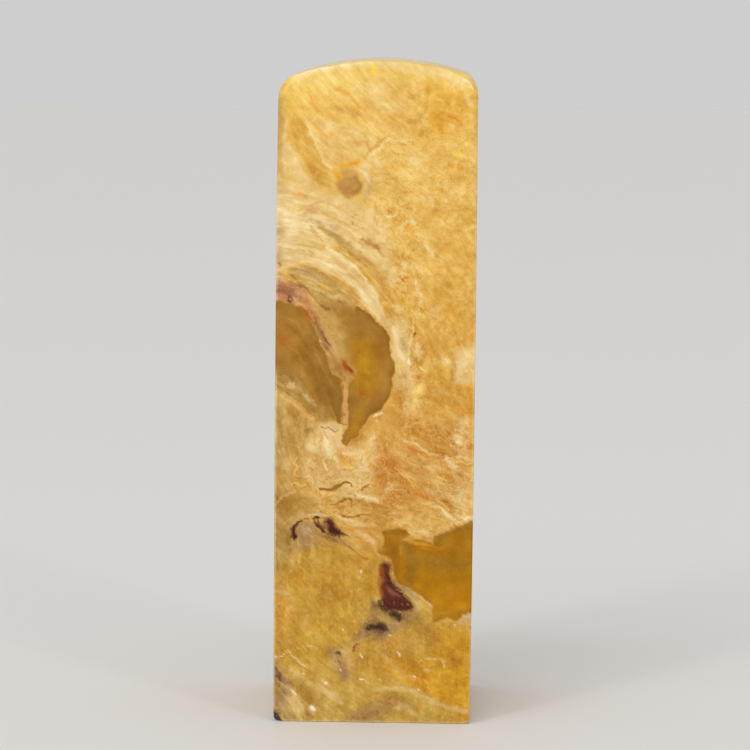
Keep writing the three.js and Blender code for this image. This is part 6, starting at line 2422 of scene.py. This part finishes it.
@dataclass(frozen=True)
class PolishedStone:
    """The marbled soapstone with its waxy hand polish."""

    name: str = "polished_soapstone"
    gloss: float = 0.24
    shine: float = 0.2
    wax_depth: float = 1.15
    clear_shine: float = -0.12
    base_roughness: float = 0.3
    base_height: tuple[float, float] = (0.2, 0.05)
    relief_strength: float = 0.25
    relief_depth: float = 0.00004

    def build(self) -> bpy.types.Material:
        """Makes the material.

        Returns:
            The material.
        """
        material = bpy.data.materials.new(self.name)
        material.use_nodes = True
        wires = Wiring(material.node_tree)
        shader = material.node_tree.nodes["Principled BSDF"]
        coordinates = wires.add("TexCoord", {}).outputs["Object"]
        spot = {0: coordinates, "Scale": 1 / MM}
        place = wires.add("VectorMath", spot, operation="SCALE").outputs[0]
        bed = self.read(wires, "bed").outputs["Fac"]
        depths = self.read(wires, "depths").outputs
        habits = self.read(wires, "habits").outputs
        laminae, curls, grains = wires.add("SeparateColor", {0: habits["Color"]}).outputs
        tone, pale = self.weave(wires, place, bed, laminae, curls, grains, habits["Alpha"])
        rock = self.absorb(wires, self.read(wires, "ground").outputs["Color"], tone)
        flecks = wires.step(wires.noise(place, 1.7, 2, 0.5, 7.0), 0.58, 0.76)
        blush = wires.step(wires.noise(place, 0.55, 4, 0.65, 3.0), 0.54, 0.8)
        drawn = wires.add("Mapping", {0: place, 2: (0, 0.25, 0), 3: (1.1, 0.3, 0.42)}).outputs[0]
        wisps = wires.step(wires.noise(drawn, 0.9, 4, 0.65, 5.0), 0.5, 0.72)
        for share, hue in (
            (wires.maths("MULTIPLY", pale, 0.4), CREAM),
            (wires.maths("MULTIPLY", flecks, 0.2), CREAM),
            (wires.maths("MULTIPLY", wisps, wires.maths("MULTIPLY", habits["Alpha"], 0.22)), LEMON),
            (wires.maths("MULTIPLY", blush, wires.maths("MULTIPLY_ADD", grains, 0.25, 0.12)), SAFFRON),
        ):
            rock = wires.mix(share, rock, (*linear(hue.value), 1))
        rock = wires.add("Gamma", {"Color": rock, "Gamma": self.wax_depth}).outputs[0]
        clear = self.absorb(wires, depths["Color"], self.clouds(wires, place))
        colour = wires.mix(depths["Alpha"], rock, clear)
        ragged = wires.noise(place, 3.2, 4, 0.7)
        for name, strength in (("stains", 0.8), ("inclusions", 1.8)):
            layer = self.read(wires, name).outputs
            rise, fall = (wires.step(layer["Alpha"], a, b) for a, b in ((0.02, 0.3), (0.75, 1.0)))
            fringe = wires.swing(ragged, strength, wires.maths("SUBTRACT", rise, fall))
            cover = wires.maths("ADD", layer["Alpha"], fringe, clamp=True)
            colour = wires.mix(cover, colour, layer["Color"])
        wires.feed(shader.inputs["Base Color"], colour)
        self.polish(wires, shader, place, depths["Alpha"], curls, tone)
        return material

    @staticmethod
    def read(wires: Wiring, name: str) -> bpy.types.Node:
        """Reads a vertex attribute."""
        return wires.add("Attribute", {}, attribute_type="GEOMETRY", attribute_name=name)

    @staticmethod
    def absorb(wires: Wiring, tint: Socket, tone: Socket) -> Socket:
        """Makes a tint paler or deeper, as a thinner or thicker slice of the same stone would be.

        Args:
            wires: where the nodes go.
            tint: the colour.
            tone: more than 0 for paler, less for deeper.

        Returns:
            The new colour.
        """
        power = wires.maths("SUBTRACT", 1, tone)
        shade = wires.add("Gamma", {"Color": tint, "Gamma": power}).outputs[0]
        light = wires.maths("ADD", wires.maths("MULTIPLY", tone, 0.3), 1)
        return wires.add("VectorMath", {0: shade, "Scale": light}, operation="SCALE").outputs[0]

    def weave(
        self,
        wires: Wiring,
        place: Socket,
        bed: Socket,
        laminae: Socket,
        curls: Socket,
        grains: Socket,
        veils: Socket,
    ) -> tuple[Socket, Socket]:
        """Adds up the rock's fine fabric.

        Args:
            wires: where the nodes go.
            place: place in millimetres.
            bed: height across the beds.
            laminae: how finely laminated the rock is.
            curls: how much it is crusted with torn leaves.
            grains: how grainy it is.
            veils: how much it is drawn out in milky veils.

        Returns:
            How pale or deep the rock is, and where a pale thread shows.
        """
        bedded = bedded_noise()
        felt = felt_threads(bedded)
        spot = {"Place": place, "Bed": bed}
        brush, fine = (
            wires.group(bedded, {**spot, "Across": a, "Along": b, "Detail": 2, "Seed": a}).outputs[0]
            for a, b in ((1.2, 3.2), (0.42, 2.6))
        )
        wide, narrow = (
            wires.group(felt, {**spot, "Across": a, "Along": b, "Width": w, "Seed": a}).outputs
            for a, b, w in ((1.9, 4.0, 0.022), (0.9, 1.8, 0.03))
        )
        upright = wires.add("Mapping", {0: place, 2: (0, 0.12, 0), 3: (1.3, 0.3, 0.2)}).outputs[0]
        parts = (
            wires.swing(fine, 1.0, laminae),
            wires.swing(wires.noise(upright, 1, 3, 0.6), 0.35, veils),
            wires.swing(wide["Tone"], 0.5, curls),
            wires.swing(narrow["Tone"], 0.35, curls),
            wires.swing(wires.noise(place, 1.1, 3, 0.6), 0.8, grains),
            wires.swing(wires.noise(place, 4.2, 3, 0.7), 0.36),
            wires.swing(wires.noise(place, 0.3, 4, 0.6), 0.9),
        )
        tone = wires.swing(brush, 0.4, wires.maths("MULTIPLY_ADD", veils, -0.6, 1))
        for part in parts:
            tone = wires.maths("ADD", tone, part)
        pale = wires.maths("MULTIPLY", wires.maths("MAXIMUM", wide["Pale"], narrow["Pale"]), curls)
        dark = wires.maths("MULTIPLY", wires.maths("MAXIMUM", wide["Dark"], narrow["Dark"]), curls)
        return wires.maths("SUBTRACT", tone, wires.maths("MULTIPLY", dark, 0.3)), pale

    @staticmethod
    def clouds(wires: Wiring, place: Socket) -> Socket:
        """Faint clouds inside the clear stone.

        Args:
            wires: where the nodes go.
            place: place in millimetres.

        Returns:
            How pale or deep the clear stone is.
        """
        soft = wires.swing(wires.noise(place, 0.45, 3, 0.55), 0.5)
        fine = wires.swing(wires.noise(place, 2.6, 2, 0.6), 0.16)
        return wires.maths("ADD", soft, fine)

    def polish(
        self,
        wires: Wiring,
        shader: bpy.types.Node,
        place: Socket,
        pocket: Socket,
        curls: Socket,
        tone: Socket,
    ) -> None:
        """Gives the surface its gloss and its faint relief.

        Args:
            wires: where the nodes go.
            shader: the shader that gets them.
            place: place in millimetres.
            pocket: where the stone is clear.
            curls: where it is crusted.
            tone: how pale or deep it is.
        """
        smear = wires.swing(wires.noise(place, 0.8, 4, 0.6), 0.2)
        rough = wires.maths("ADD", smear, self.gloss)
        rough = wires.maths("ADD", rough, wires.maths("MULTIPLY", curls, 0.08))
        rough = wires.maths("SUBTRACT", rough, wires.maths("MULTIPLY", pocket, 0.05))
        height = wires.add("SeparateXYZ", {0: place}).outputs["Z"]
        ground = wires.maths("MULTIPLY", wires.step(height, *self.base_height), self.base_roughness)
        rough = wires.maths("ADD", rough, ground)
        wires.feed(shader.inputs["Roughness"], rough)
        shine = wires.maths("MULTIPLY_ADD", pocket, self.clear_shine, self.shine)
        wires.feed(shader.inputs["Specular IOR Level"], shine)
        relief = wires.maths("MULTIPLY", tone, curls)
        relief = wires.maths("ADD", wires.noise(place, 2.2, 3, 0.6), relief)
        settings = {"Height": relief, "Strength": self.relief_strength, "Distance": self.relief_depth}
        bump = wires.add("Bump", settings)
        wires.feed(shader.inputs["Normal"], bump.outputs[0])


@dataclass(frozen=True)
class Studio:
    """The plain floor, the soft lamps, the world and the camera."""

    floor_size: float = 6.0
    floor_tint: str = "E6E4E1"
    floor_roughness: float = 0.6
    world_grey: float = 0.62
    sun_power: float = 0.8
    sun_spread: float = 50.0
    sun_place: tuple[float, float, float] = (-0.3, -0.7, 0.8)
    aim: tuple[float, float, float] = (0.0, 0.0, 0.05)
    camera_distance: float = 500.0
    camera_height: float = 108.6
    camera_side: float = 1.213
    camera_tilt: float = -6.337
    camera_roll: float = 0.609
    focal_pixels: float = 3357.0
    frame_pixels: float = 750.0
    sensor: float = 36.0
    nearest: float = 0.01

    def build(self, block: Block) -> None:
        """Makes the whole studio round the block.

        Args:
            block: the stone that stands in it.
        """
        self.lay_floor()
        self.hang_lamps()
        self.light_world()
        self.place_camera(block)

    def lay_floor(self) -> None:
        """Lays the pale floor."""
        bm = bmesh.new()
        bmesh.ops.create_grid(bm, x_segments=1, y_segments=1, size=self.floor_size / 2)
        mesh = bpy.data.meshes.new("floor")
        bm.to_mesh(mesh)
        bm.free()
        floor = bpy.data.objects.new("floor", mesh)
        bpy.context.scene.collection.objects.link(floor)
        material = bpy.data.materials.new("pale_floor")
        material.use_nodes = True
        shader = material.node_tree.nodes["Principled BSDF"]
        shader.inputs["Base Color"].default_value = (*linear(self.floor_tint), 1)
        shader.inputs["Roughness"].default_value = self.floor_roughness
        mesh.materials.append(material)

    def hang_lamps(self) -> None:
        """Hangs a soft lamp on each side in front, and a wide soft light high on the left."""
        for name, place, size, power in (
            ("lamp_left", (-0.62, -0.85, 0.42), 0.14, 1.8),
            ("lamp_right", (0.65, -0.85, 0.45), 0.14, 1.65),
        ):
            light = bpy.data.lights.new(name, "AREA")
            light.shape = "SQUARE"
            light.size = size
            light.energy = power
            self.hang(light, place)
        sky = bpy.data.lights.new("sky_light", "SUN")
        sky.energy = self.sun_power
        sky.angle = math.radians(self.sun_spread)
        self.hang(sky, self.sun_place)

    def hang(self, light: bpy.types.Light, place: tuple[float, float, float]) -> None:
        """Hangs a light so that it points at the stone.

        Args:
            light: the light.
            place: where it hangs, in metres.
        """
        lamp = bpy.data.objects.new(light.name, light)
        lamp.location = place
        aim = Vector(self.aim) - Vector(place)
        lamp.rotation_euler = aim.to_track_quat("-Z", "Y").to_euler()
        bpy.context.scene.collection.objects.link(lamp)

    def light_world(self) -> None:
        """Lights the stone evenly from all round, at the level of the lit floor."""
        world = bpy.data.worlds.new("studio_world")
        world.use_nodes = True
        bpy.context.scene.world = world
        background = world.node_tree.nodes["Background"]
        background.inputs["Color"].default_value = (1, 1, 1, 1)
        background.inputs["Strength"].default_value = self.world_grey

    def place_camera(self, block: Block) -> None:
        """Stands the camera where the photograph was taken from.

        Args:
            block: the stone that it looks at.
        """
        side, tilt, roll = (
            math.radians(angle) for angle in (self.camera_side, self.camera_tilt, self.camera_roll)
        )
        place = Vector(
            (
                self.camera_distance * math.sin(side),
                -block.depth / 2 - self.camera_distance * math.cos(side),
                self.camera_height,
            )
        )
        ahead = Vector(
            (-math.sin(side) * math.cos(tilt), math.cos(side) * math.cos(tilt), math.sin(tilt))
        )
        right = ahead.cross(Vector((0, 0, 1))).normalized()
        turn = Matrix((right, right.cross(ahead), -ahead)).transposed()
        camera = bpy.data.cameras.new("camera")
        camera.sensor_width = self.sensor
        camera.lens = self.sensor * self.focal_pixels / self.frame_pixels
        camera.clip_start = self.nearest
        holder = bpy.data.objects.new("camera", camera)
        holder.matrix_world = (
            Matrix.Translation(place * MM) @ turn.to_4x4() @ Matrix.Rotation(roll, 4, "Z")
        )
        bpy.context.scene.collection.objects.link(holder)
        bpy.context.scene.camera = holder


class SealStone:
    """The one piece of the seal: its mesh, its markings and its material."""

    name: str = "marbled_stone"

    def build(self, block: Block) -> bpy.types.Object:
        """Makes the piece and fits it over its solid.

        Args:
            block: the outline to follow.

        Returns:
            The finished object.
        """
        faces = (top_markings(), back_markings(), left_markings(), right_markings(), front_markings())
        rock = Rock(block, faces)
        piece = StoneMesh(block, rock).build(self.name)
        piece.data.transform(Matrix.Scale(MM, 4))
        piece.data.materials.append(PolishedStone().build())
        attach(piece, BODY)
        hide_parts(NODE)
        return piece


def packed_block() -> Block:
    """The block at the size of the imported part."""
    low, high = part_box(NODE)
    return Block(*((high - low) / MM))


def main() -> None:
    """Builds the studio and the stone, and reports the piece."""
    logging.basicConfig(level=logging.INFO, format="%(name)s: %(message)s")
    bpy.context.scene.view_settings.view_transform = "Standard"
    block = packed_block()
    Studio().build(block)
    stone = SealStone().build(block)
    LOG.info("%s: %d faces", stone.name, len(stone.data.polygons))


if __name__ == "__main__":
    main()
